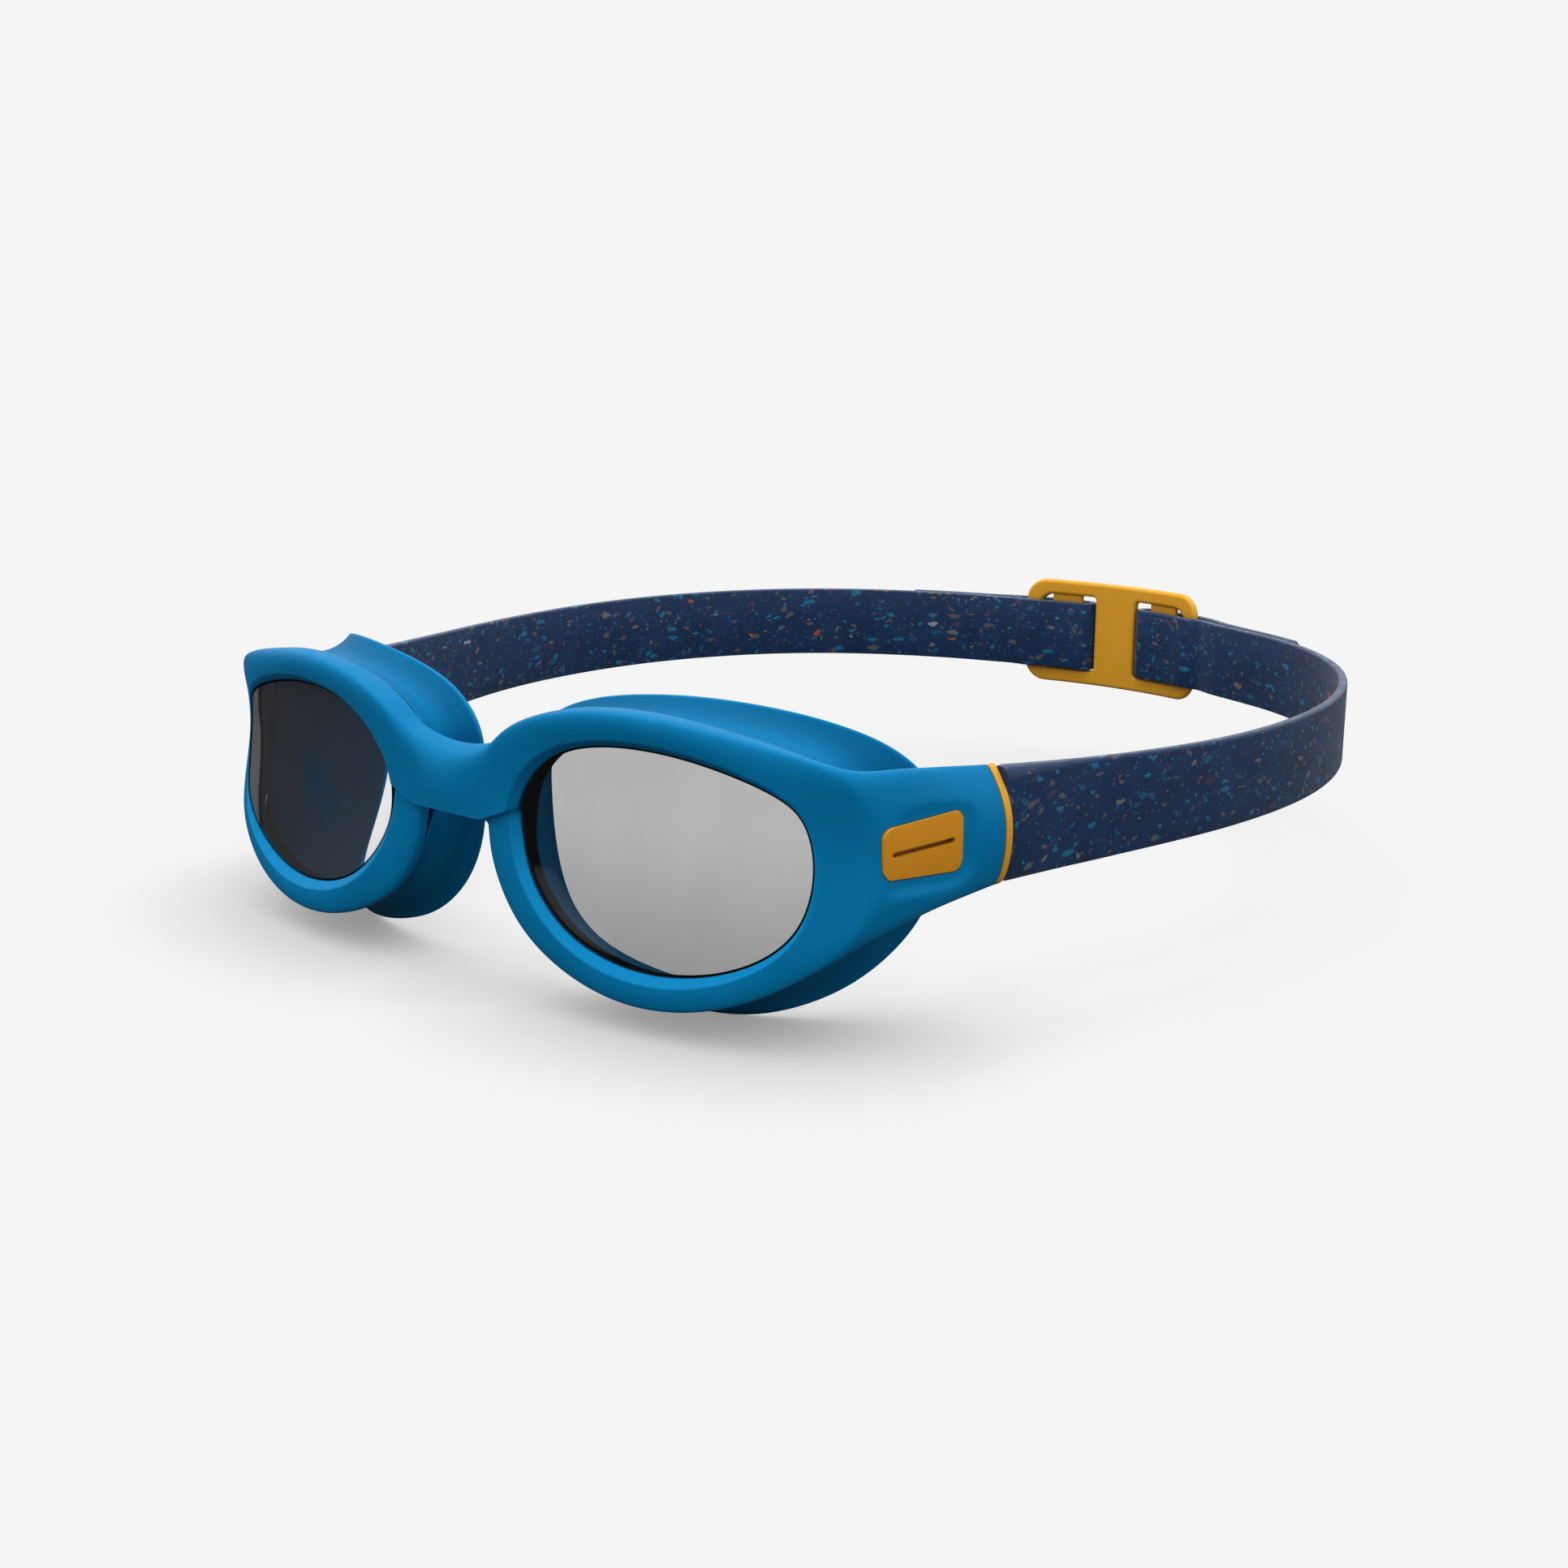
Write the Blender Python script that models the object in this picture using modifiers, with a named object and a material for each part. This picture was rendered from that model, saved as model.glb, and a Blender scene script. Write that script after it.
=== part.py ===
"""Swim goggles: one-piece soft frame, two lenses, two face gaskets, two rigid
strap connectors and collars, a two-piece silicone strap and its back buckle.

Dimensions are in millimetres and become metres when the meshes are made.
+X is the wearer's left, -Y is forward (out of the lenses), +Z is up.  The
object is symmetric about X = 0 apart from the buckle, which sits slightly to
the left of centre.
"""
import bpy
import bmesh
import math
import numpy as np

MM = 0.001
NAME = "swim_goggles"
SIDES = (("left", 1), ("right", -1))

# Dimensions are laid out from a point between the eyes; the finished assembly
# is moved so that this place, the middle of its box, is the origin.
ORIGIN_AT = (0.0, 100.41, -5.85)

# ------------------------------------------------------------ rim dimensions
# Rim front: y as a function of x and z, a gently wrapped, saddle-like face.
RIM_Y0 = 3.4            # y at the reference point
RIM_MID = (40.0, -5.0)  # the reference point (x, z)
RIM_SLOPE = 0.178       # backward slope towards the temple
RIM_WRAP = 0.0007       # extra wrap, per mm squared
RIM_SADDLE = -0.0078    # top and bottom of the rim come forward

# The lower half of the rim leans forward.
LEAN_Z = (5.0, -14.0)   # heights where the lean starts and is complete
LEAN_X = (16.0, 46.0)   # x where the nose values end, and the run to the temple's
LEAN_IN = (2.0, 2.0)    # lean of the opening's edge at the nose and the temple
LEAN_OUT = (0.0, 1.7)   # lean of the outer edge at the nose and the temple
SHIFT_IN = (-0.8, 2.0)  # x shift of the leaning opening: at the nose, gain to temple
SHIFT_OUT = 1.2         # x shift of the leaning outer edge at the temple

LIP_T = 2.2             # thickness of the rim lip in front of the lens
LIP_TEMPLE = 0.75       # the same at the temple
POCKET_U = 2.4          # lens pocket outside the opening
POCKET_D = (3.4, 5.0)   # least and greatest depth of the pocket wall
TEMPLE_IN, TEMPLE_BACK = 0.9, 1.2   # the opening's temple edge, inwards and back
TEMPLE_X = (60.0, 7.0)  # x where that shift starts, and its run
CHAMFER = 1.3           # inner chamfer of the opening
CHAMFER_TEMPLE = 0.35   # the same at the temple
FLUSH_SETBACK = 4.0     # set-back at which the temple values are reached

# Stations round one rim, from the bridge over the top to the temple and back
# along the bottom: opening point (x, z), outer edge point (x, z), set-back of
# the outer edge, round-over depth, depth of the outer wall, step in y.
STATIONS = [
    (15.1, 0.9, 7.6, -2.0, 0.0, 0.3, 5.0, -1.1),
    (15.9, 3.6, 8.0, 2.4, 0.0, 0.3, 5.0, -1.0),
    (17.8, 6.4, 8.6, 6.6, 0.0, 0.5, 5.2, -0.8),
    (20.6, 9.2, 10.2, 10.9, 0.0, 1.2, 5.4, -0.6),
    (24.2, 11.4, 14.8, 15.0, 0.0, 1.7, 5.6, -0.3),
    (29.0, 13.0, 22.4, 17.9, 0.0, 2.0, 5.6, -0.1),
    (36.0, 13.9, 32.5, 19.6, 0.0, 2.0, 5.3, 0.0),
    (44.5, 13.6, 43.0, 19.4, 0.0, 2.0, 5.2, 0.0),
    (52.5, 12.2, 53.8, 18.0, 0.5, 2.0, 5.4, 0.0),
    (59.7, 10.2, 63.4, 16.1, 1.5, 2.0, 6.0, 0.0),
    (64.6, 8.0, 71.2, 13.6, 3.4, 1.7, 5.8, 0.0),
    (66.7, 5.4, 73.6, 9.6, 4.6, 1.3, 6.0, 0.0),
    (67.7, 2.0, 74.6, 4.8, 5.0, 1.1, 6.0, 0.0),
    (68.0, -1.8, 74.8, -0.6, 5.1, 1.1, 6.0, 0.0),
    (67.6, -5.8, 74.7, -5.8, 4.8, 1.1, 6.0, 0.0),
    (66.3, -9.8, 73.6, -10.6, 4.0, 1.2, 5.8, 0.0),
    (63.8, -13.2, 70.4, -15.4, 2.4, 1.3, 4.8, 0.0),
    (59.6, -16.7, 64.8, -19.6, 0.9, 1.2, 3.4, 0.0),
    (54.0, -19.5, 57.4, -23.9, 0.3, 1.1, 2.4, 0.0),
    (47.5, -21.3, 48.6, -26.6, 0.0, 1.1, 2.3, 0.0),
    (40.5, -21.8, 39.4, -27.5, 0.0, 1.1, 2.3, 0.0),
    (33.4, -20.8, 30.2, -26.2, 0.0, 1.1, 2.3, 0.0),
    (27.2, -18.5, 21.4, -23.0, 0.0, 1.1, 2.3, 0.0),
    (22.2, -14.9, 14.3, -18.3, 0.0, 1.1, 2.3, 0.0),
    (18.3, -10.2, 10.0, -12.3, 0.0, 1.0, 2.3, 0.0),
    (16.1, -5.4, 8.0, -7.0, 0.0, 1.0, 2.3, 0.0),
    (15.2, 0.4, 7.9, -2.6, 0.0, 1.0, 2.5, 0.0),
]
BRIDGE_COLS = (0, 3)        # first and last station carrying the nose bridge
ARM_COLS = (10, 16)         # first and last station carrying the side arm
RIM_ROWS = 10               # points of one rim section
OUTER_FRONT, OUTER_REAR = 4, 5      # the section's rows bounding the outer wall
RIM_CREASES = ((0, 0.7), (1, 0.6), (5, 0.5), (7, 0.9), (8, 1.0), (9, 0.9))

# Bridge section on the symmetry plane: (front y, z, rear y, z) bottom to top.
BRIDGE_MID = [(-3.7, -1.5, 0.9, -1.2), (-4.4, 1.9, 1.4, 2.2),
              (-4.1, 5.4, 1.6, 5.8), (-2.6, 8.0, 1.6, 9.2)]
# Rows of the bridge: (share of the way to x = 0, weight of the middle section).
BRIDGE_STEPS = ((0.5, 0.72), (1.0, 1.0))

# ------------------------------------------------------- side arm dimensions
ARM_TILT = math.radians(6.3)    # tilt of the arm's axis in plan
ARM_REF = (77.5, 25.0)          # a point (x, y) on the arm's outer side
# Stations: y, top z, bottom z, thickness, round-off at the top and the bottom.
ARM_STATIONS = [
    (20.5, 12.9, -12.0, 5.4, 2.4, 1.1),
    (27.0, 12.0, -11.0, 5.4, 3.0, 1.4),
    (34.5, 11.0, -10.4, 5.5, 3.7, 1.7),
    (40.9, 10.1, -10.0, 5.5, 4.2, 2.0),
    (42.2, 10.0, -9.9, 5.5, 4.3, 2.0),
]
ARM_INNER_Z = 0.985             # height of the inner side over the outer side's
ARM_INNER_ROUND = 0.5

SLOT_Y = (17.3, 46.0)           # slot along the arm, running out of its end
SLOT_H, SLOT_T, SLOT_R = 12.0, 2.2, 1.5
SLOT_DEPTH = 3.3                # middle of the slot below the arm's outer side

# Connector plate and its badge, seen through a window in the arm.
CONN_T = 1.6
CONN_Y = (17.7, 35.4)
CONN_HALF_H, CONN_R = 5.6, 2.0
BOSS_TOP = 0.55                 # badge face below the arm's outer side
BOSS_OVERLAP = 0.5              # how far the badge boss runs into the plate
BADGE_CORNERS = [(15.9, -3.5), (15.9, 4.6), (33.4, 4.9), (33.4, -5.0)]  # (y, z)
BADGE_R = 2.0
WINDOW_GAP = 0.3                # between the badge and its window
SLIT_Y = (17.6, 31.4)
SLIT_Z, SLIT_W, SLIT_D = 0.3, 0.8, 0.7  # middle, width, depth into the badge
CUT_OVER = -1.0                 # the slit's cutter starts outside the arm
# Dished recess round the window.
DISH_RIM = (3.4, 4.6)           # growth over the badge, corner radius
DISH_FLOOR = 1.0                # growth of the dish's floor over the badge
DISH_DEPTHS = (-1.6, 0.05, 0.62)    # cutter's top, dish's rim, dish's floor

COLLAR_Y = (42.5, 44.1)
COLLAR_GROW = 0.08              # collar's outline over the arm's end
HOLE_GAP = 0.3                  # between the collar and the strap's tongue
HOLE_R = 0.4

# ------------------------------------------------ lens and gasket dimensions
LENS_GAP = 0.35
LENS_T = 1.7
LENS_U = 1.6            # how far the lens's edge is outside the opening
LENS_BULGE = 0.7        # the lens's middle forward of the mean of its edge
LENS_SCALES = (1.0, 0.62, 0.26)     # rings of the lens faces, edge to middle
FIT_GAP = 0.35          # gap between neighbouring pieces

EYE_X, EYE_Z = 41.5, -4.0
# Gasket lip, the sealing edge against the face (x, y, z).
LIP = [
    (5.6, 11.3, 3.0), (6.2, 11.2, 9.0), (9.9, 11.2, 13.6), (15.5, 12.0, 16.4),
    (23.7, 12.3, 18.6), (31.0, 13.2, 19.6), (39.5, 15.1, 20.1),
    (48.6, 18.4, 19.6), (55.2, 23.3, 18.0), (60.4, 29.2, 15.4),
    (64.3, 35.0, 11.4), (66.8, 39.6, 5.2), (67.6, 41.4, -2.0),
    (67.4, 41.1, -9.4), (65.9, 38.4, -16.8), (63.0, 33.2, -23.5),
    (58.3, 26.4, -28.5), (51.0, 19.6, -31.6), (43.0, 15.6, -32.0),
    (34.8, 13.4, -31.0), (25.7, 11.5, -28.8), (18.6, 10.8, -26.3),
    (13.0, 10.6, -22.4), (9.0, 11.1, -17.6), (7.0, 11.4, -12.0),
    (5.8, 11.4, -5.0),
]
LIP_W = 5.0                 # width of the sealing flange
LIP_NARROW = 1.5            # how much narrower it is at the temple
LIP_NARROW_X = (48.0, 14.0)     # x where it starts to narrow, and the run
WALL = 1.6                  # gasket wall
SEAT_EDGE = 0.6             # gasket's outer edge inside the rim's outer edge
SEAT_TEMPLE_U = 3.1         # the same edge outside the opening at the temple
TEMPLE_SETBACK = (0.9, 2.0)     # rim set-back where temple shape starts, and the run
GASKET_ROWS = 10
GASKET_CREASES = ((0, 0.6), (3, 0.6), (4, 0.4), (5, 0.5), (8, 0.5))

# ---------------------------------------------------------- strap dimensions
# Part of the plan curve of the strap's outer side, arm to buckle (x, y).
LOOP = [(78.2, 44.4), (80.9, 55.5), (85.5, 71.8), (89.8, 89.8), (91.8, 110.0),
        (90.0, 131.6), (82.6, 154.0), (68.8, 174.0), (49.0, 188.6),
        (33.0, 195.3)]
LOOP_POINTS = 38
LOOP_END = (24.5, -0.2)     # last key: x from the buckle's middle, y from STRAP_BACK_Y
STRAP_BACK_Y = 198.4        # outer face of the strap at the buckle's ends
STRAP_T = 1.7
STRAP_H = 7.85              # half height at the back
STRAP_H_ARM = 9.4           # half height at the collar
WIDEN_FROM = 110.0          # y where the widening starts
STRAP_T_ARM = 3.4           # thickness of the moulded end next to the collar
THICK_TO = 64.0             # y where the moulded end has thinned out
TONGUE_H = 5.3              # half height of the tongue in the slot
TONGUE_Y = 35.9
STRAP_RISE = 0.55           # the straps climb this much towards the buckle
RISE_Y = (60.0, 120.0)      # y where the climb starts, and its run
STRAP_EDGE = 0.45           # bevel of the strap's long edges
STRAP_PIVOT = (78.0, 43.3)  # x, y of the strap's origin, at the arm's end

# Strap in front of the buckle: x from its middle, y from STRAP_BACK_Y.
FRONT_RUN = ((22.0, -0.98), (19.1, -0.40), (16.2, 0.72), (12.6, 1.55))
BAR_TURN = (0.9, 0.27)      # turn's centre inside the bar edge, clearance to the bar
TURN_STEPS = 8
TAIL_RUN = (12.8, 16.4, 19.1, 22.0)     # x of the tail behind the buckle
TAIL_GAP = 0.4              # between the buckle and the tail behind it
TAIL_FROM = 26.5            # x from which the tail follows the strap
TAIL_L = 34.5               # greatest length of that part
TAIL_OVER = (0.33, 2.3, 5.0)    # gap to the strap, extra at the buckle, its decay
TAIL_TIP = ((1.0, 7.3), (1.9, 6.6), (2.4, 5.4), (2.6, 3.9))  # length, half height

# ---------------------------------------------------------------- buckle
# A curved ladder plate with two windows and a bar across each.
BUCKLE_X, BUCKLE_Z = 2.1, 1.15
BK_Y = 201.5                # front face at the middle
BK_RADIUS = 83.0            # plan curvature
BK_T = 2.1                  # thickness
BK_HALF_W, BK_HALF_H = 22.4, 12.05
BK_CORNER = 4.8
WIN_IN, WIN_OUT, WIN_H = 5.35, 19.1, 8.7    # inner side, outer side, half height
WIN_CORNER_IN, WIN_CORNER_OUT = 0.8, 3.2
BAR_IN, BAR_OUT = 9.2, 16.4     # inner and outer side of a bar
BAR_D = (0.7, 1.95)         # depth of the bar in the plate's thickness
BAR_T = BAR_D[1] - BAR_D[0]
BAR_OVERLAP = 1.2           # how far a bar's ends run into the plate
BK_ROUND, BAR_ROUND = 0.7, 0.25     # rounding of the plate's and bars' edges
BEND_LINES = np.arange(-20.25, 20.3, 2.7)   # x of the cuts that let it bend


# --------------------------------------------------------------------- scene
for old in list(bpy.data.objects):
    bpy.data.objects.remove(old, do_unlink=True)

scene = bpy.context.scene


def new_collection(name):
    collection = bpy.data.collections.new(name)
    scene.collection.children.link(collection)
    return collection


pieces = new_collection(NAME)
tools = new_collection(NAME + "_cutters")


# ----------------------------------------------------------------- materials
def material(name, color, roughness, alpha=1.0):
    mat = bpy.data.materials.new(name)
    mat.use_nodes = True
    shader = mat.node_tree.nodes["Principled BSDF"]
    shader.inputs["Base Color"].default_value = (*color, 1.0)
    shader.inputs["Roughness"].default_value = roughness
    shader.inputs["Alpha"].default_value = alpha
    mat.diffuse_color = (*color, alpha)
    return mat


FRAME_BLUE = material("frame_blue_tpe", color=(0.010, 0.235, 0.565), roughness=0.42)
LENS_SMOKE = material("lens_smoke", color=(0.30, 0.31, 0.33), roughness=0.05, alpha=0.45)
GASKET_BLUE = material("gasket_blue_tpe", color=(0.010, 0.215, 0.520), roughness=0.48)
AMBER = material("amber_plastic", color=(0.62, 0.30, 0.022), roughness=0.38)
NAVY = material("strap_navy_silicone", color=(0.022, 0.042, 0.120), roughness=0.55)


# ------------------------------------------------------------ object helpers
def make(name, verts, faces, mat=None, collection=pieces, origin=(0, 0, 0), smooth=True,
         front_face=None, creases=()):
    """Mesh object from millimetre vertices; faces are turned to point outwards.

    An open mesh names a face that has to look forward.
    """
    mesh = bpy.data.meshes.new(name)
    start = np.array(origin, float)
    mesh.from_pydata([tuple((np.asarray(v, float) - start) * MM) for v in verts], [], faces)
    mesh.update()
    bm = bmesh.new()
    bm.from_mesh(mesh)
    bm.verts.ensure_lookup_table()
    bmesh.ops.recalc_face_normals(bm, faces=bm.faces[:])
    bm.faces.ensure_lookup_table()
    if front_face is not None:
        inside_out = bm.faces[front_face].normal.y > 0
    else:
        inside_out = bm.calc_volume(signed=True) < 0
    if inside_out:
        bmesh.ops.reverse_faces(bm, faces=bm.faces[:])
    if creases:
        layer = bm.edges.layers.float.new("crease_edge")
        for i, j, crease in creases:
            edge = bm.edges.get((bm.verts[i], bm.verts[j]))
            edge[layer] = max(edge[layer], crease)
    for face in bm.faces:
        face.smooth = smooth
    bm.to_mesh(mesh)
    bm.free()
    ob = bpy.data.objects.new(name, mesh)
    ob.location = tuple(start * MM)
    collection.objects.link(ob)
    if mat is not None:
        mesh.materials.append(mat)
    return ob


def make_tool(name, verts, faces):
    """Hidden helper solid for a boolean."""
    ob = make(name, verts, faces, collection=tools, smooth=False)
    ob.hide_render = True
    ob.display_type = "WIRE"
    return ob


def subdivide(ob):
    modifier = ob.modifiers.new("round", "SUBSURF")
    modifier.levels = modifier.render_levels = 1


def add_boolean(ob, tool, name, operation="DIFFERENCE"):
    modifier = ob.modifiers.new(name, "BOOLEAN")
    modifier.operation = operation
    modifier.solver = "EXACT"
    modifier.object = tool


def on_side(verts, side):
    """Vertices laid out for the left, mirrored when the side is the right."""
    return [(side * x, y, z) for x, y, z in verts]


# ---------------------------------------------------------- geometry helpers
def clamp(value):
    return min(max(value, 0.0), 1.0)


def smoothstep(value):
    return value * value * (3 - 2 * value)


def tube_faces(columns, rows, closed=True, skip=()):
    """Quads between sections of `rows` points; skip holds (column, row) gaps."""
    faces = []
    for i in range(columns if closed else columns - 1):
        j = (i + 1) % columns
        for r in range(rows):
            s = (r + 1) % rows
            if (i, r) not in skip:
                faces.append((i * rows + r, i * rows + s, j * rows + s, j * rows + r))
    return faces


def row_creases(columns, rows, creases):
    """Creases along the given rows of a closed tube."""
    return [(i * rows + r, (i + 1) % columns * rows + r, crease)
            for i in range(columns) for r, crease in creases]


def closed_cubic(keys):
    """Closed cubic spline: keys, chord parameters and second derivatives."""
    points = np.asarray(keys, float)
    return cubic(np.vstack([points, points[:1]]), closed=True)


def cubic(keys, closed=False):
    """Spline through keys; a closed one repeats its first key at the end."""
    points = np.asarray(keys, float)
    chords = np.linalg.norm(np.diff(points, axis=0), axis=1)
    params = np.concatenate([[0.0], np.cumsum(chords)])
    count = len(points)
    step = np.diff(params)
    matrix = np.zeros((count, count))
    right = np.zeros_like(points)
    for i in range(1, count - 1):
        matrix[i, i - 1:i + 2] = step[i - 1], 2 * (step[i - 1] + step[i]), step[i]
        right[i] = 6 * ((points[i + 1] - points[i]) / step[i]
                        - (points[i] - points[i - 1]) / step[i - 1])
    if closed:
        matrix[0, 0], matrix[0, -1] = 1, -1
        matrix[-1, 0], matrix[-1, 1] = 2 * step[0], step[0]
        matrix[-1, -2], matrix[-1, -1] = step[-1], 2 * step[-1]
        right[-1] = 6 * ((points[1] - points[0]) / step[0]
                         - (points[-1] - points[-2]) / step[-1])
    else:
        matrix[0, 0] = matrix[-1, -1] = 1
    return points, params, np.linalg.solve(matrix, right)


def spline(keys, count, closed=False):
    """Points evenly spaced along a cubic spline through the keys."""
    points, params, second = closed_cubic(keys) if closed else cubic(keys)
    fine = np.linspace(0, params[-1], 1200)
    k = np.clip(np.searchsorted(params, fine, side="right") - 1, 0, len(params) - 2)
    span = (params[k + 1] - params[k])[:, None]
    before = (params[k + 1] - fine)[:, None] / span
    after = (fine - params[k])[:, None] / span
    curve = (before * points[k] + after * points[k + 1]
             + ((before ** 3 - before) * second[k]
                + (after ** 3 - after) * second[k + 1]) * span * span / 6)
    steps = np.linalg.norm(np.diff(curve, axis=0), axis=1)
    length = np.concatenate([[0.0], np.cumsum(steps)])
    if closed:
        wanted = np.linspace(0, length[-1], count + 1)[:-1]
    else:
        wanted = np.linspace(0, length[-1], count)
    return np.stack([np.interp(wanted, length, column) for column in curve.T], 1)


def outward_normals(points):
    """Unit normals to the right of a plan curve's direction."""
    tangents = np.gradient(np.asarray(points, float), axis=0)
    tangents /= np.linalg.norm(tangents, axis=1)[:, None]
    return np.stack([tangents[:, 1], -tangents[:, 0]], 1)


def rectangle(x0, x1, y0, y1):
    return [(x0, y0), (x0, y1), (x1, y1), (x1, y0)]


def rounded(corners, radius, steps=5):
    """Polygon with its corners replaced by arcs."""
    points = np.asarray(corners, float)
    out = []
    for i, corner in enumerate(points):
        back = points[i - 1] - corner
        ahead = points[(i + 1) % len(points)] - corner
        back, ahead = back / np.linalg.norm(back), ahead / np.linalg.norm(ahead)
        half = math.acos(max(-1, min(1, float(back @ ahead)))) / 2
        cutback = radius / math.tan(half)
        bisector = (back + ahead) / np.linalg.norm(back + ahead)
        middle = corner + bisector * radius / math.sin(half)
        first = corner + back * cutback - middle
        last = corner + ahead * cutback - middle
        start, end = math.atan2(first[1], first[0]), math.atan2(last[1], last[0])
        while end - start > math.pi:
            end -= 2 * math.pi
        while start - end > math.pi:
            end += 2 * math.pi
        for k in range(steps + 1):
            angle = start + (end - start) * k / steps
            out.append((middle[0] + radius * math.cos(angle),
                        middle[1] + radius * math.sin(angle)))
    return out


def grown(points, amount):
    """Four corners moved outwards by the same amount both ways."""
    points = np.asarray(points, float)
    return points + np.sign(points - points.mean(0)) * amount


# --------------------------------------------------------------- rim section
def rim_y(x, z):
    across = x - RIM_MID[0]
    return (RIM_Y0 + RIM_SLOPE * across + RIM_WRAP * across * across
            + RIM_SADDLE * (z - RIM_MID[1]) ** 2)


def lean(x, z, amount):
    """Share of the lean at this height, share to the temple, and the full lean."""
    down = clamp((LEAN_Z[0] - z) / (LEAN_Z[0] - LEAN_Z[1]))
    outward = clamp((x - LEAN_X[0]) / LEAN_X[1])
    return smoothstep(down), outward, amount[0] + (amount[1] - amount[0]) * outward


class RimSection:
    """Rim section at a station.

    Places in it are given by `across`, the distance outside the opening, and
    a depth backwards from the rim front.
    """

    def __init__(self, open_x, open_z, edge_x, edge_z, setback, round_over, deep, step):
        down_in, outward_in, lean_in = lean(open_x, open_z, LEAN_IN)
        down_out, outward_out, lean_out = lean(edge_x, edge_z, LEAN_OUT)
        self.forward_in, self.forward_out = down_in * lean_in, down_out * lean_out
        self.near_temple = clamp((open_x - TEMPLE_X[0]) / TEMPLE_X[1]) ** 2
        shift = down_in * (SHIFT_IN[0] + SHIFT_IN[1] * outward_in)
        self.opening = np.array([open_x + shift - TEMPLE_IN * self.near_temple, open_z])
        edge = np.array([edge_x + down_out * SHIFT_OUT * outward_out, edge_z])
        self.width = float(np.linalg.norm(edge - self.opening))
        self.direction = (edge - self.opening) / self.width
        self.setback = setback
        self.flush = min(setback / FLUSH_SETBACK, 1.0)
        self.lip = LIP_T - (LIP_T - LIP_TEMPLE) * self.flush
        self.eye_angle = math.atan2(edge_z - EYE_Z, edge_x - EYE_X)

        width = self.width
        pocket = min(max(deep, POCKET_D[0]), POCKET_D[1])
        wall = width - min(0.15 + 0.85 * setback, 3.6)
        middle = 0.5 * (wall + POCKET_U)
        self.rear = ([POCKET_U, middle, wall], [pocket, 0.5 * (deep + pocket), deep])
        chamfer = CHAMFER - (CHAMFER - CHAMFER_TEMPLE) * self.flush
        rows = [(0.0, chamfer + step), (chamfer, step),
                (max(0.5 * width, 2.2), step - 0.1),
                (width - min(1.0, 0.2 * width), step + 0.35 * round_over),
                (width, step + round_over), (wall, deep),
                (middle, 0.5 * (deep + pocket)), (POCKET_U, pocket),
                (POCKET_U, self.lip), (0.0, self.lip)]
        self.points = [self.at(across, depth) for across, depth in rows]

    def at(self, across, depth):
        """Point (x, y, z) at a place in the section."""
        x, z = self.opening + self.direction * across
        share = clamp(across / self.width)
        forward = self.forward_in * (1 - share) + self.forward_out * share
        y = (rim_y(x, z) + depth + self.setback * share ** (1.1 - 0.4 * self.flush)
             - forward + TEMPLE_BACK * self.near_temple * (1 - share))
        return (float(x), float(y), float(z))

    def rear_depth(self, across):
        """Depth of the rim's rear face."""
        return float(np.interp(across, *self.rear))


SECTIONS = [RimSection(*station) for station in STATIONS]


# ------------------------------------------------------------------ side arm
def arm_point(y, depth, z):
    """Point on the arm at a depth below its outer side."""
    along = (y - ARM_REF[1]) / math.cos(ARM_TILT)
    return (ARM_REF[0] + along * math.sin(ARM_TILT) - depth * math.cos(ARM_TILT),
            ARM_REF[1] + along * math.cos(ARM_TILT) + depth * math.sin(ARM_TILT), z)


def arm_profile(station):
    """Outer and inner side of a D-shaped arm section, (depth, z) top to bottom."""
    _, top, bottom, thick, round_top, round_bottom = station
    outer, inner = [], []
    last = ARM_COLS[1] - ARM_COLS[0]
    for m in range(last + 1):
        down = m / last
        off_middle = abs(2 * down - 1)
        z = top + (bottom - top) * down
        if down < 0.5:
            bulge = round_top * off_middle ** 2
        else:
            bulge = round_bottom * off_middle ** 2.6
        outer.append((bulge, z))
        inner.append((thick - ARM_INNER_ROUND * off_middle ** 4, z * ARM_INNER_Z))
    return outer, inner


def arm_solid(*layers):
    """Solid on the arm from layers of (outline of (y, z), depth)."""
    count = len(layers[0][0])
    verts = [arm_point(y, depth, z) for outline, depth in layers for y, z in outline]
    faces = [tuple(range(count)),
             tuple(range(len(verts) - 1, len(verts) - count - 1, -1))]
    faces += tube_faces(len(layers), count, closed=False)
    return verts, faces


# --------------------------------------------------------------------- frame
def add_bridge(verts, faces, creases):
    """Nose bridge: from the outer wall's two rows to the symmetry plane."""
    columns = range(BRIDGE_COLS[0], BRIDGE_COLS[1] + 1)
    old_front = [i * RIM_ROWS + OUTER_FRONT for i in columns]
    old_rear = [i * RIM_ROWS + OUTER_REAR for i in columns]
    for inward, weight in BRIDGE_STEPS:
        front, rear = [], []
        for i, (front_y, front_z, rear_y, rear_z) in zip(columns, BRIDGE_MID):
            for row, mid_y, mid_z, ring in ((OUTER_FRONT, front_y, front_z, front),
                                            (OUTER_REAR, rear_y, rear_z, rear)):
                x, y, z = verts[i * RIM_ROWS + row]
                ring.append(len(verts))
                verts.append((x * (1 - inward), y * (1 - weight) + mid_y * weight,
                              z * (1 - weight) + mid_z * weight))
        for k in range(len(columns) - 1):
            faces.append((old_front[k], old_front[k + 1], front[k + 1], front[k]))
            faces.append((old_rear[k + 1], old_rear[k], rear[k], rear[k + 1]))
        faces.append((old_front[-1], old_rear[-1], rear[-1], front[-1]))
        faces.append((old_rear[0], old_front[0], front[0], rear[0]))
        creases.append((old_front[0], front[0], 1.0))
        creases.append((old_rear[-1], rear[-1], 0.4))
        old_front, old_rear = front, rear


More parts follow.
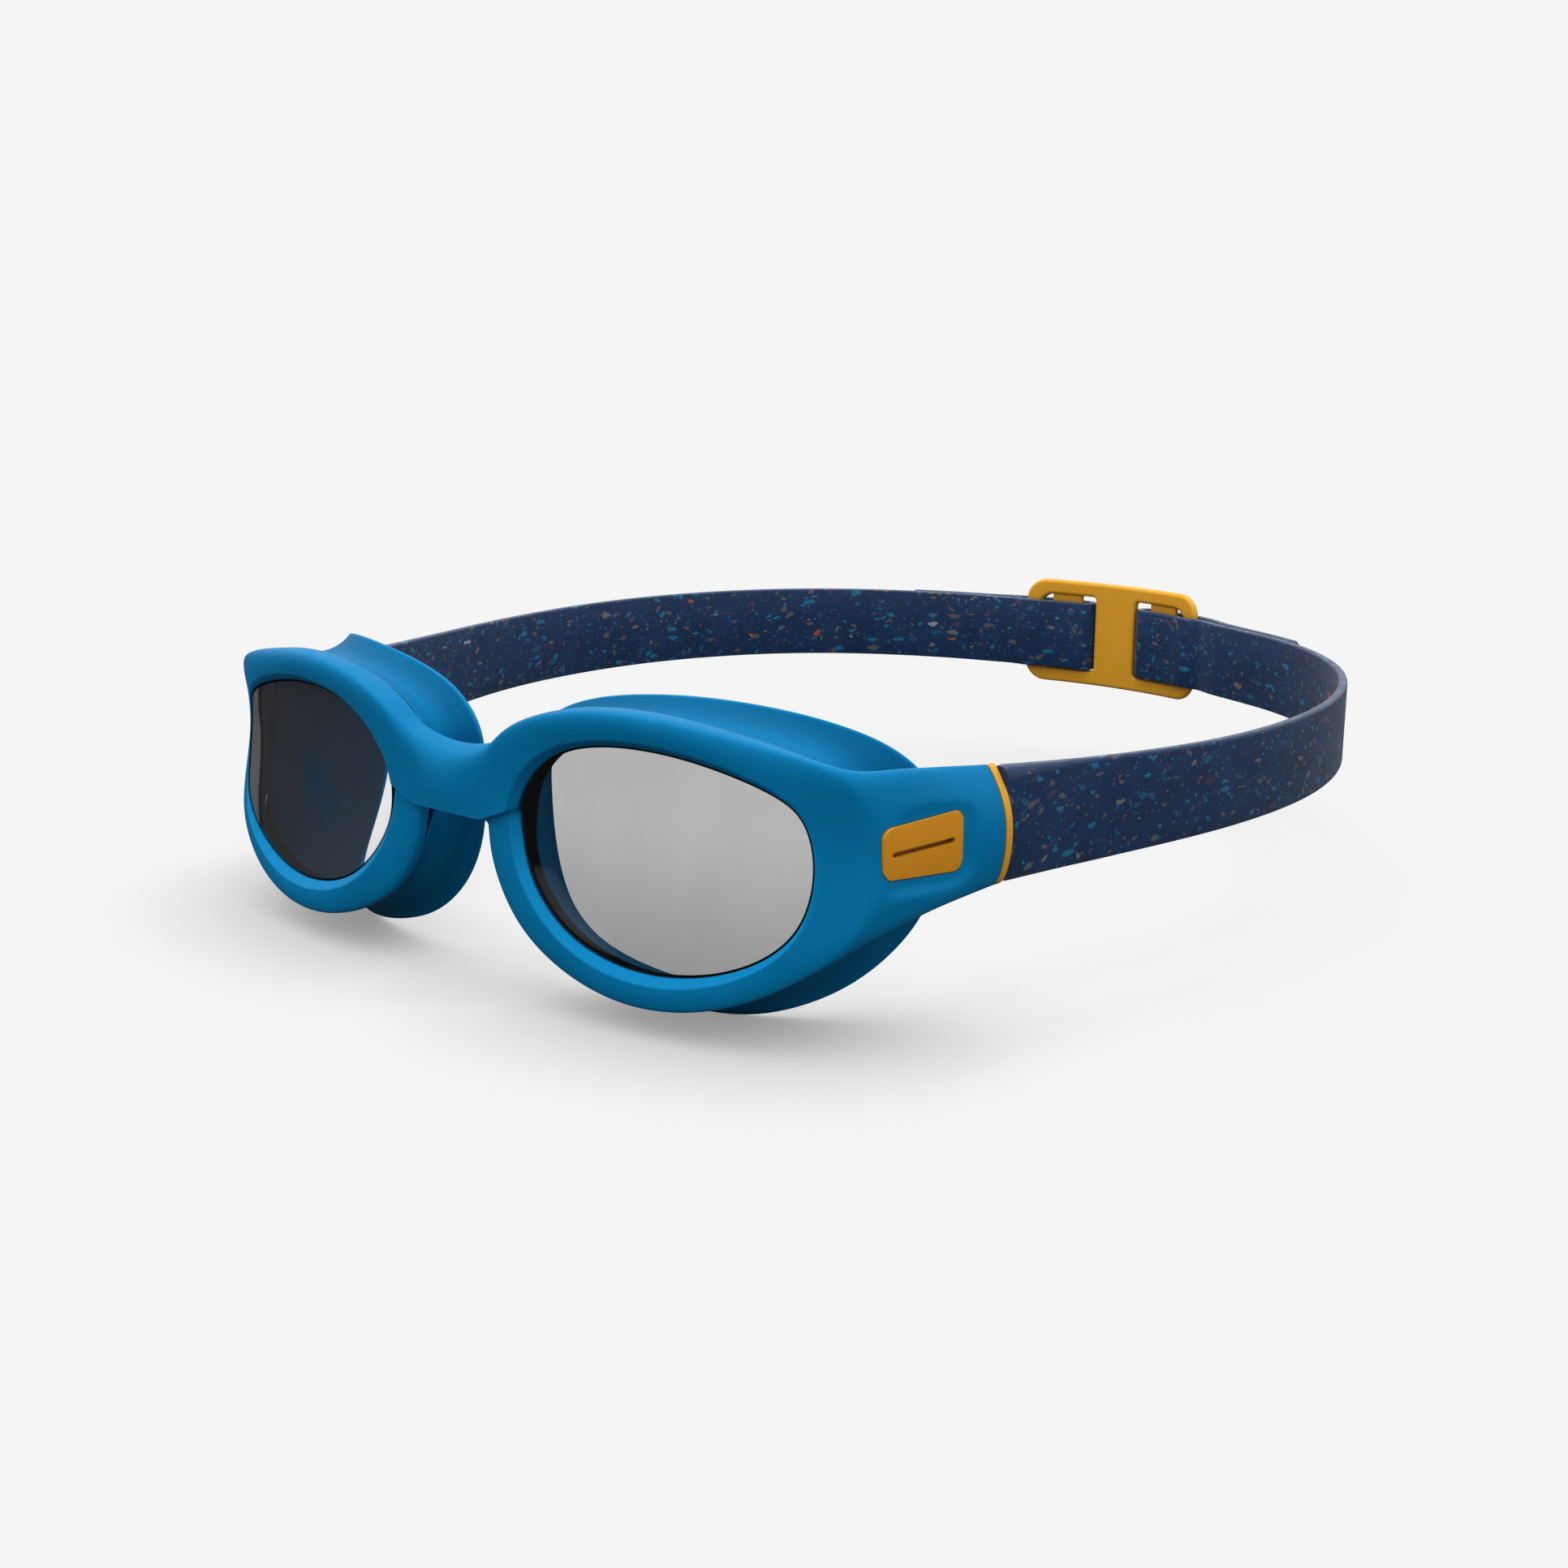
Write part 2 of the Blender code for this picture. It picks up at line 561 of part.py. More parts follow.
def add_arm(verts, faces, creases):
    """Side arm: D-shaped sections from the temple wall to the collar."""
    columns = range(ARM_COLS[0], ARM_COLS[1] + 1)
    outer = [i * RIM_ROWS + OUTER_FRONT for i in columns]
    inner = [i * RIM_ROWS + OUTER_REAR for i in columns]
    for station in ARM_STATIONS:
        new_outer, new_inner = [], []
        for pair in zip(*arm_profile(station)):
            for (depth, z), ring in zip(pair, (new_outer, new_inner)):
                ring.append(len(verts))
                verts.append(arm_point(station[0], depth, z))
        for m in range(len(columns) - 1):
            faces.append((outer[m], outer[m + 1], new_outer[m + 1], new_outer[m]))
            faces.append((inner[m + 1], inner[m], new_inner[m], new_inner[m + 1]))
        faces.append((inner[0], outer[0], new_outer[0], new_inner[0]))
        faces.append((outer[-1], inner[-1], new_inner[-1], new_outer[-1]))
        outer, inner = new_outer, new_inner
    ring = outer + inner[::-1]
    for m in range(len(ring)):
        creases.append((ring[m], ring[(m + 1) % len(ring)], 1.0))
    for m in range(len(columns) - 1):
        faces.append((outer[m], inner[m], inner[m + 1], outer[m + 1]))


def frame_half():
    """Left half of the frame, open at the symmetry plane."""
    count = len(SECTIONS)
    verts = [point for section in SECTIONS for point in section.points]
    joined = {(i, OUTER_FRONT) for i in (*range(*BRIDGE_COLS), *range(*ARM_COLS))}
    faces = tube_faces(count, RIM_ROWS, skip=joined)
    creases = row_creases(count, RIM_ROWS, RIM_CREASES)
    # the step in the front face between the last station and the first
    last = (count - 1) * RIM_ROWS
    for r in range(4):
        creases.append((r, r + 1, 1.0))
        creases.append((last + r, last + r + 1, 0.9))
    add_bridge(verts, faces, creases)
    add_arm(verts, faces, creases)
    return verts, faces, creases


def build_frame():
    verts, faces, creases = frame_half()
    frame = make("frame", verts, faces, FRAME_BLUE, front_face=1, creases=creases)
    mirror = frame.modifiers.new("symmetry", "MIRROR")
    mirror.use_axis = (True, False, False)
    mirror.use_mirror_merge = True
    mirror.merge_threshold = 0.0001
    subdivide(frame)

    slot = rounded(rectangle(*SLOT_Y, -SLOT_H / 2, SLOT_H / 2), SLOT_R, 3)
    window = rounded(grown(BADGE_CORNERS, WINDOW_GAP), BADGE_R + WINDOW_GAP)
    dish = rounded(grown(BADGE_CORNERS, DISH_RIM[0]), DISH_RIM[1], 6)
    floor = rounded(grown(BADGE_CORNERS, DISH_FLOOR), BADGE_R + DISH_FLOOR, 6)
    cuts = {
        "window": arm_solid((window, -2.0), (window, SLOT_DEPTH)),
        "slot": arm_solid((slot, SLOT_DEPTH - SLOT_T / 2), (slot, SLOT_DEPTH + SLOT_T / 2)),
        "dish": arm_solid(*zip((dish, dish, floor), DISH_DEPTHS)),
    }
    for tag, side in SIDES:
        for label, (verts, faces) in cuts.items():
            tool = make_tool(f"cut_{label}_{tag}", on_side(verts, side), faces)
            add_boolean(frame, tool, f"{label}_{tag}")


# -------------------------------------------------------------------- lenses
def lens_mesh():
    verts, faces, creases = [], [], []
    sections = SECTIONS[:-1]
    n = len(sections)
    for depth in (LENS_GAP, LENS_GAP + LENS_T):
        edge = [section.at(LENS_U, section.lip + depth) for section in sections]
        base = len(verts)
        center = np.mean(edge, 0) - np.array([0, LENS_BULGE, 0])
        for scale in LENS_SCALES:
            for point in edge:
                moved = center + (np.array(point) - center) * scale
                moved[1] = center[1] + (point[1] - center[1]) * scale * scale
                verts.append(tuple(moved))
        verts.append(tuple(center))
        for k in range(2):
            for i in range(n):
                j = (i + 1) % n
                faces.append((base + k * n + i, base + k * n + j,
                              base + (k + 1) * n + j, base + (k + 1) * n + i))
        for i in range(n):
            faces.append((base + 2 * n + i, base + 2 * n + (i + 1) % n, base + 3 * n))
    rear = 3 * n + 1        # first vertex of the rear face
    for i in range(n):
        j = (i + 1) % n
        faces.append((i, j, rear + j, rear + i))
        creases += [(i, j, 1.0), (rear + i, rear + j, 1.0)]
    return verts, faces, creases


def build_lenses():
    verts, faces, creases = lens_mesh()
    for tag, side in SIDES:
        subdivide(make(f"lens_{tag}", on_side(verts, side), faces, LENS_SMOKE,
                       creases=creases))


# ------------------------------------------------------------------- gaskets
def gasket_section(section, lip):
    """Closed section: out along the outer wall to the face, back inside."""
    temple = clamp((section.setback - TEMPLE_SETBACK[0]) / TEMPLE_SETBACK[1])
    across = (section.width - SEAT_EDGE) * (1 - temple) + SEAT_TEMPLE_U * temple
    seat_edge = np.array(section.at(
        across, section.rear_depth(across) + FIT_GAP + 0.15 * temple))
    inward = np.array([EYE_X - lip[0], 0.0, EYE_Z - lip[2]])
    inward /= np.linalg.norm(inward)
    waist = seat_edge + (lip - seat_edge) * 0.38 + inward * (2.3 + 1.4 * temple)
    below_lip = seat_edge + (lip - seat_edge) * 0.80 + inward * 1.7
    flange = LIP_W - LIP_NARROW * clamp((lip[0] - LIP_NARROW_X[0]) / LIP_NARROW_X[1])
    seat = max(section.lip + LENS_GAP + LENS_T + FIT_GAP,
               section.rear_depth(POCKET_U) + FIT_GAP)
    return [
        seat_edge, waist, below_lip, lip,
        lip + np.array([0, 0.75, 0]) + inward * 0.35,
        lip + inward * flange + np.array([0, 0.2, 0]),
        lip + inward * (flange - 0.6) + np.array([0, -1.1, 0]),
        waist + inward * WALL + np.array([0, -0.3, 0]),
        section.at(0.5, seat + 0.15),
        section.at(2.6, max(seat, section.rear_depth(2.6) + FIT_GAP) + 0.05),
    ]


def build_gaskets():
    lip = spline(LIP, 400, closed=True)
    angles = np.arctan2(lip[:, 2] - EYE_Z, lip[:, 0] - EYE_X)
    verts = []
    for section in SECTIONS[:-1]:
        lip_point = np.array([np.interp(section.eye_angle, angles, column,
                                        period=2 * math.pi) for column in lip.T])
        verts += gasket_section(section, lip_point)
    count = len(SECTIONS) - 1
    faces = tube_faces(count, GASKET_ROWS)
    creases = row_creases(count, GASKET_ROWS, GASKET_CREASES)
    for tag, side in SIDES:
        subdivide(make(f"gasket_{tag}", on_side(verts, side), faces, GASKET_BLUE,
                       creases=creases))


# ---------------------------------------------------------------- connectors
def build_connectors():
    """Plate in the arm's slot with the slit badge boss standing out of it."""
    plate = rounded(rectangle(*CONN_Y, -CONN_HALF_H, CONN_HALF_H), CONN_R, 4)
    badge = rounded(BADGE_CORNERS, BADGE_R)
    slit = rounded(rectangle(*SLIT_Y, SLIT_Z - SLIT_W / 2, SLIT_Z + SLIT_W / 2),
                   SLIT_W / 2 * 0.95, 3)
    plate_top, plate_bottom = SLOT_DEPTH - CONN_T / 2, SLOT_DEPTH + CONN_T / 2
    plate_verts, plate_faces = arm_solid((plate, plate_top), (plate, plate_bottom))
    boss_verts, boss_faces = arm_solid((badge, BOSS_TOP), (badge, plate_top + BOSS_OVERLAP))
    slit_verts, slit_faces = arm_solid((slit, CUT_OVER), (slit, BOSS_TOP + SLIT_D))
    for tag, side in SIDES:
        connector = make(f"strap_connector_{tag}", on_side(plate_verts, side), plate_faces,
                         AMBER, smooth=False)
        boss = make_tool(f"tool_boss_{tag}", on_side(boss_verts, side), boss_faces)
        add_boolean(connector, boss, "boss", "UNION")
        cut = make_tool(f"cut_slit_{tag}", on_side(slit_verts, side), slit_faces)
        add_boolean(connector, cut, "slit")


# ------------------------------------------------------------------- collars
def collar_outline():
    """The arm's end as (depth, z), subdivided once like the arm and grown."""
    outer, inner = arm_profile(ARM_STATIONS[-1])
    points = np.array(outer + inner[::-1])
    before, after = np.roll(points, 1, 0), np.roll(points, -1, 0)
    corners = (before + 6 * points + after) / 8
    middles = (points + after) / 2
    points = np.stack([corners, middles], 1).reshape(-1, 2)
    center = points.mean(0)
    away = points - center
    return center + away * (1 + COLLAR_GROW / np.linalg.norm(away, axis=1))[:, None]


def by_angle(points):
    """Points in order of direction from their centre, depth stretched 4 times."""
    center = np.mean(points, 0)
    return sorted(points, key=lambda point: math.atan2(point[1] - center[1],
                                                       (point[0] - center[0]) * 4))


def build_collars():
    """Rings between the arms' ends and the straps' shoulders."""
    half_t, half_h = STRAP_T / 2 + HOLE_GAP, TONGUE_H + HOLE_GAP
    # six steps per corner give the hole as many points as the outline
    hole = rounded(rectangle(SLOT_DEPTH - half_t, SLOT_DEPTH + half_t, -half_h, half_h),
                   HOLE_R, 6)
    n = len(hole)
    verts = [arm_point(y, depth, z) for ring in (by_angle(collar_outline()), by_angle(hole))
             for y in COLLAR_Y for depth, z in ring]
    faces = []
    for i in range(n):
        j = (i + 1) % n
        faces += [(i, j, n + j, n + i), (2 * n + j, 2 * n + i, 3 * n + i, 3 * n + j),
                  (j, i, 2 * n + i, 2 * n + j), (n + i, n + j, 3 * n + j, 3 * n + i)]
    for tag, side in SIDES:
        make(f"strap_collar_{tag}", on_side(verts, side), faces, AMBER)


# -------------------------------------------------------------------- straps
def plate_y(x):
    """Front face of the curved buckle at a distance x from its middle."""
    return BK_Y - (BK_RADIUS - math.sqrt(BK_RADIUS ** 2 - x * x))


def tongue_path():
    """Straight tongue in the arm's slot and the collar."""
    start = arm_point(TONGUE_Y, SLOT_DEPTH, 0)
    end = arm_point(COLLAR_Y[1] + 0.45, SLOT_DEPTH, 0)
    return [(start[0] + (end[0] - start[0]) * k / 3, start[1] + (end[1] - start[1]) * k / 3,
             TONGUE_H, STRAP_T) for k in range(4)]


def body_path(buckle_x):
    """From the collar round the side to the buckle's end."""
    points = spline(LOOP + [(buckle_x + LOOP_END[0], STRAP_BACK_Y + LOOP_END[1])],
                    LOOP_POINTS)
    start_y = LOOP[0][1]
    path = []
    for point, normal in zip(points, outward_normals(points)):
        thicken = max(0.0, (THICK_TO - point[1]) / (THICK_TO - start_y))
        thick = STRAP_T + (STRAP_T_ARM - STRAP_T) * thicken ** 1.5
        x, y = point - normal * thick / 2
        widen = max(0.0, (WIDEN_FROM - point[1]) / (WIDEN_FROM - start_y))
        path.append((x, y, STRAP_H + (STRAP_H_ARM - STRAP_H) * widen ** 2.2, thick))
    path[0] = (path[0][0], COLLAR_Y[1] + 0.75) + path[0][2:]
    return path


def tail_path(body, buckle_x, last):
    """Tail outside the strap from the point `last`, with a narrowing tip."""
    path = []
    plan = np.array([row[:2] for row in body])
    gap_near, gap_extra, gap_decay = TAIL_OVER
    total = 0.0
    for point, normal in zip(plan[::-1], outward_normals(plan)[::-1]):
        if point[0] < buckle_x + TAIL_FROM:
            continue
        past = point[0] - buckle_x - TAIL_RUN[-1]
        gap = STRAP_T + gap_near + gap_extra * math.exp(-past / gap_decay)
        place = point + normal * gap
        step = float(np.linalg.norm(place - last))
        if total + step > TAIL_L:
            break
        total += step
        heading = place - last
        last = place
        path.append((place[0], place[1], STRAP_H, STRAP_T))
    heading /= np.linalg.norm(heading)
    for length, half_h in TAIL_TIP:
        path.append((*(last + heading * length), half_h, STRAP_T))
    return path


def strap_path(side):
    """Centre line of one strap from its tongue to the end of its tail.

    Rows of (x, y, half height, thickness).  The strap runs from the arm round
    the side, in front of the buckle's end and bar, back through the slot
    beside the pillar and outwards again behind the bar.
    """
    buckle_x = BUCKLE_X * side
    body = body_path(buckle_x)
    turns = [(x, STRAP_BACK_Y + y) for x, y in FRONT_RUN]
    # round the bar's inner edge
    center_x = BAR_IN - BAR_TURN[0]
    center_y = plate_y(BAR_IN) + BAR_D[0] + BAR_T / 2
    radius = BAR_T / 2 + BAR_TURN[1] + STRAP_T / 2
    for k in range(TURN_STEPS + 1):
        angle = math.pi * k / TURN_STEPS
        turns.append((center_x - radius * math.sin(angle),
                      center_y - radius * math.cos(angle)))
    # behind the bar and the buckle's end
    turns += [(x, plate_y(x) + BK_T + TAIL_GAP + STRAP_T / 2) for x in TAIL_RUN]
    around = [(buckle_x + x, y, STRAP_H, STRAP_T) for x, y in turns]
    tail = tail_path(body, buckle_x, np.array(around[-1][:2]))
    return np.array(tongue_path() + body + around + tail)


def strap_mesh(side):
    path = strap_path(side)
    verts = []
    for (x, y, half_h, thick), normal in zip(path, outward_normals(path[:, :2])):
        half_t = thick / 2
        inner = STRAP_EDGE
        outer = STRAP_EDGE + 0.65 * (thick - STRAP_T)
        profile = [(half_t, half_h - 1.5 * outer), (half_t - outer, half_h),
                   (-half_t + inner, half_h), (-half_t, half_h - inner),
                   (-half_t, -half_h + inner), (-half_t + inner, -half_h),
                   (half_t - outer, -half_h), (half_t, -half_h + 1.5 * outer)]
        rise = STRAP_RISE * smoothstep(clamp((y - RISE_Y[0]) / RISE_Y[1]))
        for out, z in profile:
            verts.append((x + normal[0] * out, y + normal[1] * out, z + rise))
    rows = len(profile)
    faces = tube_faces(len(path), rows, closed=False)
    faces.append(tuple(range(rows)))
    faces.append(tuple(range(len(verts) - 1, len(verts) - rows - 1, -1)))
    return verts, faces


def build_straps():
    for tag, side in SIDES:
        verts, faces = strap_mesh(side)
        make(f"strap_{tag}", on_side(verts, side), faces, NAVY,
             origin=(side * STRAP_PIVOT[0], STRAP_PIVOT[1], 0.0))


# -------------------------------------------------------------------- buckle
def flat_plate(loops, thick, edge, cuts):
    """Flat plate with holes and rounded edges, cut across so that it can bend."""
    curve = bpy.data.curves.new("plate", "CURVE")
    curve.dimensions = "2D"
    curve.fill_mode = "BOTH"
    curve.extrude = (thick / 2 - edge) * MM
    curve.bevel_depth = edge * MM
    curve.bevel_resolution = 1
    curve.offset = -edge * MM
    for loop in loops:
        outline = curve.splines.new("POLY")
        outline.points.add(len(loop) - 1)
        for point, (x, z) in zip(outline.points, loop):
            point.co = (x * MM, z * MM, 0, 1)
        outline.use_cyclic_u = True
    ob = bpy.data.objects.new("plate", curve)
    scene.collection.objects.link(ob)
    depsgraph = bpy.context.evaluated_depsgraph_get()
    mesh = bpy.data.meshes.new_from_object(ob.evaluated_get(depsgraph))
    bpy.data.objects.remove(ob, do_unlink=True)
    bm = bmesh.new()
    bm.from_mesh(mesh)
    bmesh.ops.remove_doubles(bm, verts=bm.verts[:], dist=0.00001)
    for x in cuts:
        bmesh.ops.bisect_plane(bm, geom=bm.verts[:] + bm.edges[:] + bm.faces[:],
                               dist=0.000002, plane_co=(x * MM, 0, 0),
                               plane_no=(1, 0, 0))
    bm.verts.index_update()
    verts = [tuple(vert.co / MM) for vert in bm.verts]
    faces = [tuple(vert.index for vert in face.verts) for face in bm.faces]
    bm.free()
    bpy.data.meshes.remove(mesh)
    return verts, faces


def bent(verts, depth, thick):
    """Bend a flat plate onto the buckle's curve, `depth` behind its front face."""
    return [(BUCKLE_X + x, plate_y(x) + depth + thick / 2 + out, BUCKLE_Z + z)
            for x, z, out in verts]


def window_loop(sign):
    """Window outline: tight corners at the pillar, wide ones at the end."""
    corners = rectangle(WIN_IN, WIN_OUT, -WIN_H, WIN_H)
    tight = rounded(corners, WIN_CORNER_IN, 3)
    wide = rounded(corners, WIN_CORNER_OUT, 5)
    middle = (WIN_IN + WIN_OUT) / 2
    points = ([point for point in tight if point[0] < middle]
              + [point for point in wide if point[0] > middle])
    return [(sign * x, z) for x, z in points]


def build_buckle():
    outline = rounded(rectangle(-BK_HALF_W, BK_HALF_W, -BK_HALF_H, BK_HALF_H), BK_CORNER, 6)
    verts, faces = flat_plate([outline, window_loop(1), window_loop(-1)], BK_T, BK_ROUND,
                              BEND_LINES)
    buckle = make("strap_buckle", bent(verts, 0.0, BK_T), faces, AMBER,
                  origin=(BUCKLE_X, BK_Y + BK_T / 2, BUCKLE_Z), smooth=False)
    bar_h = WIN_H + BAR_OVERLAP
    bar_lines = [x for x in BEND_LINES if BAR_IN < abs(x) < BAR_OUT]
    for tag, side in SIDES:
        bar = rectangle(side * BAR_IN, side * BAR_OUT, -bar_h, bar_h)
        verts, faces = flat_plate([bar], BAR_T, BAR_ROUND, bar_lines)
        tool = make_tool(f"tool_bar_{tag}", bent(verts, BAR_D[0], BAR_T), faces)
        add_boolean(buckle, tool, f"bar_{tag}", "UNION")


# ------------------------------------------------------------------ assembly
def place_on_origin():
    """Hang everything on an empty that moves the assembly to the origin."""
    root = bpy.data.objects.new(NAME + "_origin", None)
    scene.collection.objects.link(root)
    root.location = tuple(-value * MM for value in ORIGIN_AT)
    for ob in list(pieces.objects) + list(tools.objects):
        ob.parent = root
    bpy.context.view_layer.update()


build_frame()
build_lenses()
build_gaskets()
build_connectors()
build_collars()
build_straps()
build_buckle()
place_on_origin()
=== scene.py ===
"""Swim goggles: fine meshes, materials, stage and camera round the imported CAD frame.

The lenses face -Y, the straps run back to a buckle at +Y, Z is up and the left
side is at +X.  Lengths are millimetres, in materials and stage metres.
"""
import math
from collections import namedtuple

import bmesh
import bpy
import numpy as np
from mathutils import Matrix, Vector


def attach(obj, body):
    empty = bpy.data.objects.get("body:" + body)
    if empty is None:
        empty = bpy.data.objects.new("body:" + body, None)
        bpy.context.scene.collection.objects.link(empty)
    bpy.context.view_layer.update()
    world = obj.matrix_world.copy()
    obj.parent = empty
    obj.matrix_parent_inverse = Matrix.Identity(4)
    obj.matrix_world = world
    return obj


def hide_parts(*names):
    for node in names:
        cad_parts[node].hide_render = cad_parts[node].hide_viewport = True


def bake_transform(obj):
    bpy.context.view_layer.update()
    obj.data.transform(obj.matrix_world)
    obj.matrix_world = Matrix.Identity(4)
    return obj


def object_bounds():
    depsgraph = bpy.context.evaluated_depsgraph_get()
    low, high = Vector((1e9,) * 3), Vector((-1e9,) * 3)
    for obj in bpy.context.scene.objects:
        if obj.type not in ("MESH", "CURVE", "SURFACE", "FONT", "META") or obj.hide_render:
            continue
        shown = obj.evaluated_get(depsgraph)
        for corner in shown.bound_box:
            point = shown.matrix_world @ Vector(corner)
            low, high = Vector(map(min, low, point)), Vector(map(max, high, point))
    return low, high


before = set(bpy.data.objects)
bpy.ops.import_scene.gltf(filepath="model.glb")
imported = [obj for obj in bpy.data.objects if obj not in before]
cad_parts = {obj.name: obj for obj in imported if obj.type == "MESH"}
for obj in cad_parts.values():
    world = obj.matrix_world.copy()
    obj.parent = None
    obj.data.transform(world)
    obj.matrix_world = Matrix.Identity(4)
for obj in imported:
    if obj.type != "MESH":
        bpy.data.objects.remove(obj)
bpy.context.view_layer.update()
MM = 0.001

# ---------------------------------------------------------------- dimensions
# The dimensions below are laid out from a point between the eyes; each finished
# piece is moved so that this place, the middle of the assembly's box, is the origin.
ORIGIN_AT = (0.0, 100.41, -5.85)
SHIFT = Vector(tuple(-q * MM for q in ORIGIN_AT))       # metres

# Depth of the rim front along X and Z (a gently wrapped, saddle-like front).
RIM_MID_X, RIM_MID_Z = 40.0, -5.0
RIM_MID_Y = 3.4         # depth at that place
RIM_SLOPE = 0.178       # backward slope towards the temple
RIM_WRAP = 0.0007       # extra wrap, per mm squared
RIM_SADDLE = -0.0078    # top and bottom of the rim come forward, per mm squared
LEAN_Z = (5.0, -14.0)   # the lower half leans forward between these heights
LEAN_IN = (2.0, 2.0)    # lean of the opening's edge at the nose and the temple
LEAN_OUT = (0.0, 1.7)   # lean of the outer edge at the nose and the temple
EYE_X, EYE_Z = 41.5, -4.0

LIP_THICK = 2.2         # rim lip in front of the lens
LIP_TEMPLE = 0.75       # the same at the temple
POCKET_U = 2.4          # lens pocket outside the opening
POCKET_D = 3.4          # least depth of the pocket wall
TEMPLE_IN, TEMPLE_BACK = 0.9, 1.2   # the opening's temple edge, inwards and back
CHAMFER = 1.3           # inner chamfer of the opening
CHAMFER_TEMPLE = 0.35   # the same at the temple
LENS_GAP = 0.35
LENS_THICK = 1.7
LENS_U = 1.6            # how far the lens runs under the lip
WINDOW_U = -0.30        # side of the lens's raised window, inside the opening
WINDOW_FRONT_U = -0.52  # its front edge
DISH_SCALES = (0.90, 0.62, 0.26)    # rings that fill each face of a lens
FIT_GAP = 0.35          # gap between neighbouring pieces

# Stations round one rim, from the bridge over the top to the temple and back
# along the bottom: opening point (x, z), outer edge point (x, z), set-back of
# the outer edge, round-over depth, depth of the outer wall, backward step.
STATIONS = [
    (15.1, 0.9, 7.6, -2.0, 0.0, 0.3, 5.0, -1.1),
    (15.9, 3.6, 8.0, 2.4, 0.0, 0.3, 5.0, -1.0),
    (17.8, 6.4, 8.6, 6.6, 0.0, 0.5, 5.2, -0.8),
    (20.6, 9.2, 10.2, 10.9, 0.0, 1.2, 5.4, -0.6),
    (24.2, 11.4, 14.8, 15.0, 0.0, 1.7, 5.6, -0.3),
    (29.0, 13.0, 22.4, 17.9, 0.0, 2.0, 5.6, -0.1),
    (36.0, 13.9, 32.5, 19.6, 0.0, 2.0, 5.3, 0.0),
    (44.5, 13.6, 43.0, 19.4, 0.0, 2.0, 5.2, 0.0),
    (52.5, 12.2, 53.8, 18.0, 0.5, 2.0, 5.4, 0.0),
    (59.7, 10.2, 63.4, 16.1, 1.5, 2.0, 6.0, 0.0),
    (64.6, 8.0, 71.2, 13.6, 3.4, 1.7, 5.8, 0.0),
    (66.7, 5.4, 73.6, 9.6, 4.6, 1.3, 6.0, 0.0),
    (67.7, 2.0, 74.6, 4.8, 5.0, 1.1, 6.0, 0.0),
    (68.0, -1.8, 74.8, -0.6, 5.1, 1.1, 6.0, 0.0),
    (67.6, -5.8, 74.7, -5.8, 4.8, 1.1, 6.0, 0.0),
    (66.3, -9.8, 73.6, -10.6, 4.0, 1.2, 5.8, 0.0),
    (63.8, -13.2, 70.4, -15.4, 2.4, 1.3, 4.8, 0.0),
    (59.6, -16.7, 64.8, -19.6, 0.9, 1.2, 3.4, 0.0),
    (54.0, -19.5, 57.4, -23.9, 0.3, 1.1, 2.4, 0.0),
    (47.5, -21.3, 48.6, -26.6, 0.0, 1.1, 2.3, 0.0),
    (40.5, -21.8, 39.4, -27.5, 0.0, 1.1, 2.3, 0.0),
    (33.4, -20.8, 30.2, -26.2, 0.0, 1.1, 2.3, 0.0),
    (27.2, -18.5, 21.4, -23.0, 0.0, 1.1, 2.3, 0.0),
    (22.2, -14.9, 14.3, -18.3, 0.0, 1.1, 2.3, 0.0),
    (18.3, -10.2, 10.0, -12.3, 0.0, 1.0, 2.3, 0.0),
    (16.1, -5.4, 8.0, -7.0, 0.0, 1.0, 2.3, 0.0),
    (15.2, 0.4, 7.9, -2.6, 0.0, 1.0, 2.5, 0.0),
]
ROWS = 10                   # points of the rim's section, and of the gasket's
WALL_ROWS = (4, 5)          # section points at the front and rear of the outer wall
BRIDGE_COLS = (0, 3)        # first and last station carrying the nose bridge
ARM_COLS = (10, 16)         # first and last station carrying the side arm
ARM_COUNT = ARM_COLS[1] - ARM_COLS[0] + 1

# Bridge section on the symmetry plane: (front y, z, rear y, z) bottom to top.
BRIDGE_MID = [(-3.7, -1.5, 0.9, -1.2), (-4.4, 1.9, 1.4, 2.2),
              (-4.1, 5.4, 1.6, 5.8), (-2.6, 8.0, 1.6, 9.2)]

# Side arm: axis tilt in plan, a point (x, y) of its outer side, and stations
# (y, top z, bottom z, thickness, rounding at the top, at the bottom).
ARM_TILT = math.radians(6.3)
ARM_REF = (77.5, 25.0)
ARM_STATIONS = [(20.5, 12.9, -12.0, 5.4, 2.4, 1.1), (27.0, 12.0, -11.0, 5.4, 3.0, 1.4),
                (34.5, 11.0, -10.4, 5.5, 3.7, 1.7), (40.9, 10.1, -10.0, 5.5, 4.2, 2.0),
                (42.2, 10.0, -9.9, 5.5, 4.3, 2.0)]

# Gasket's sealing edge against the face (x, y, z).
SEAL_EDGE = [
    (5.6, 11.3, 3.0), (6.2, 11.2, 9.0), (9.9, 11.2, 13.6), (15.5, 12.0, 16.4),
    (23.7, 12.3, 18.6), (31.0, 13.2, 19.6), (39.5, 15.1, 20.1), (48.6, 18.4, 19.6),
    (55.2, 23.3, 18.0), (60.4, 29.2, 15.4), (64.3, 35.0, 11.4), (66.8, 39.6, 5.2),
    (67.6, 41.4, -2.0), (67.4, 41.1, -9.4), (65.9, 38.4, -16.8), (63.0, 33.2, -23.5),
    (58.3, 26.4, -28.5), (51.0, 19.6, -31.6), (43.0, 15.6, -32.0), (34.8, 13.4, -31.0),
    (25.7, 11.5, -28.8), (18.6, 10.8, -26.3), (13.0, 10.6, -22.4), (9.0, 11.1, -17.6),
    (7.0, 11.4, -12.0), (5.8, 11.4, -5.0)]
SEAL_WIDTH = 5.0            # width of the sealing flange
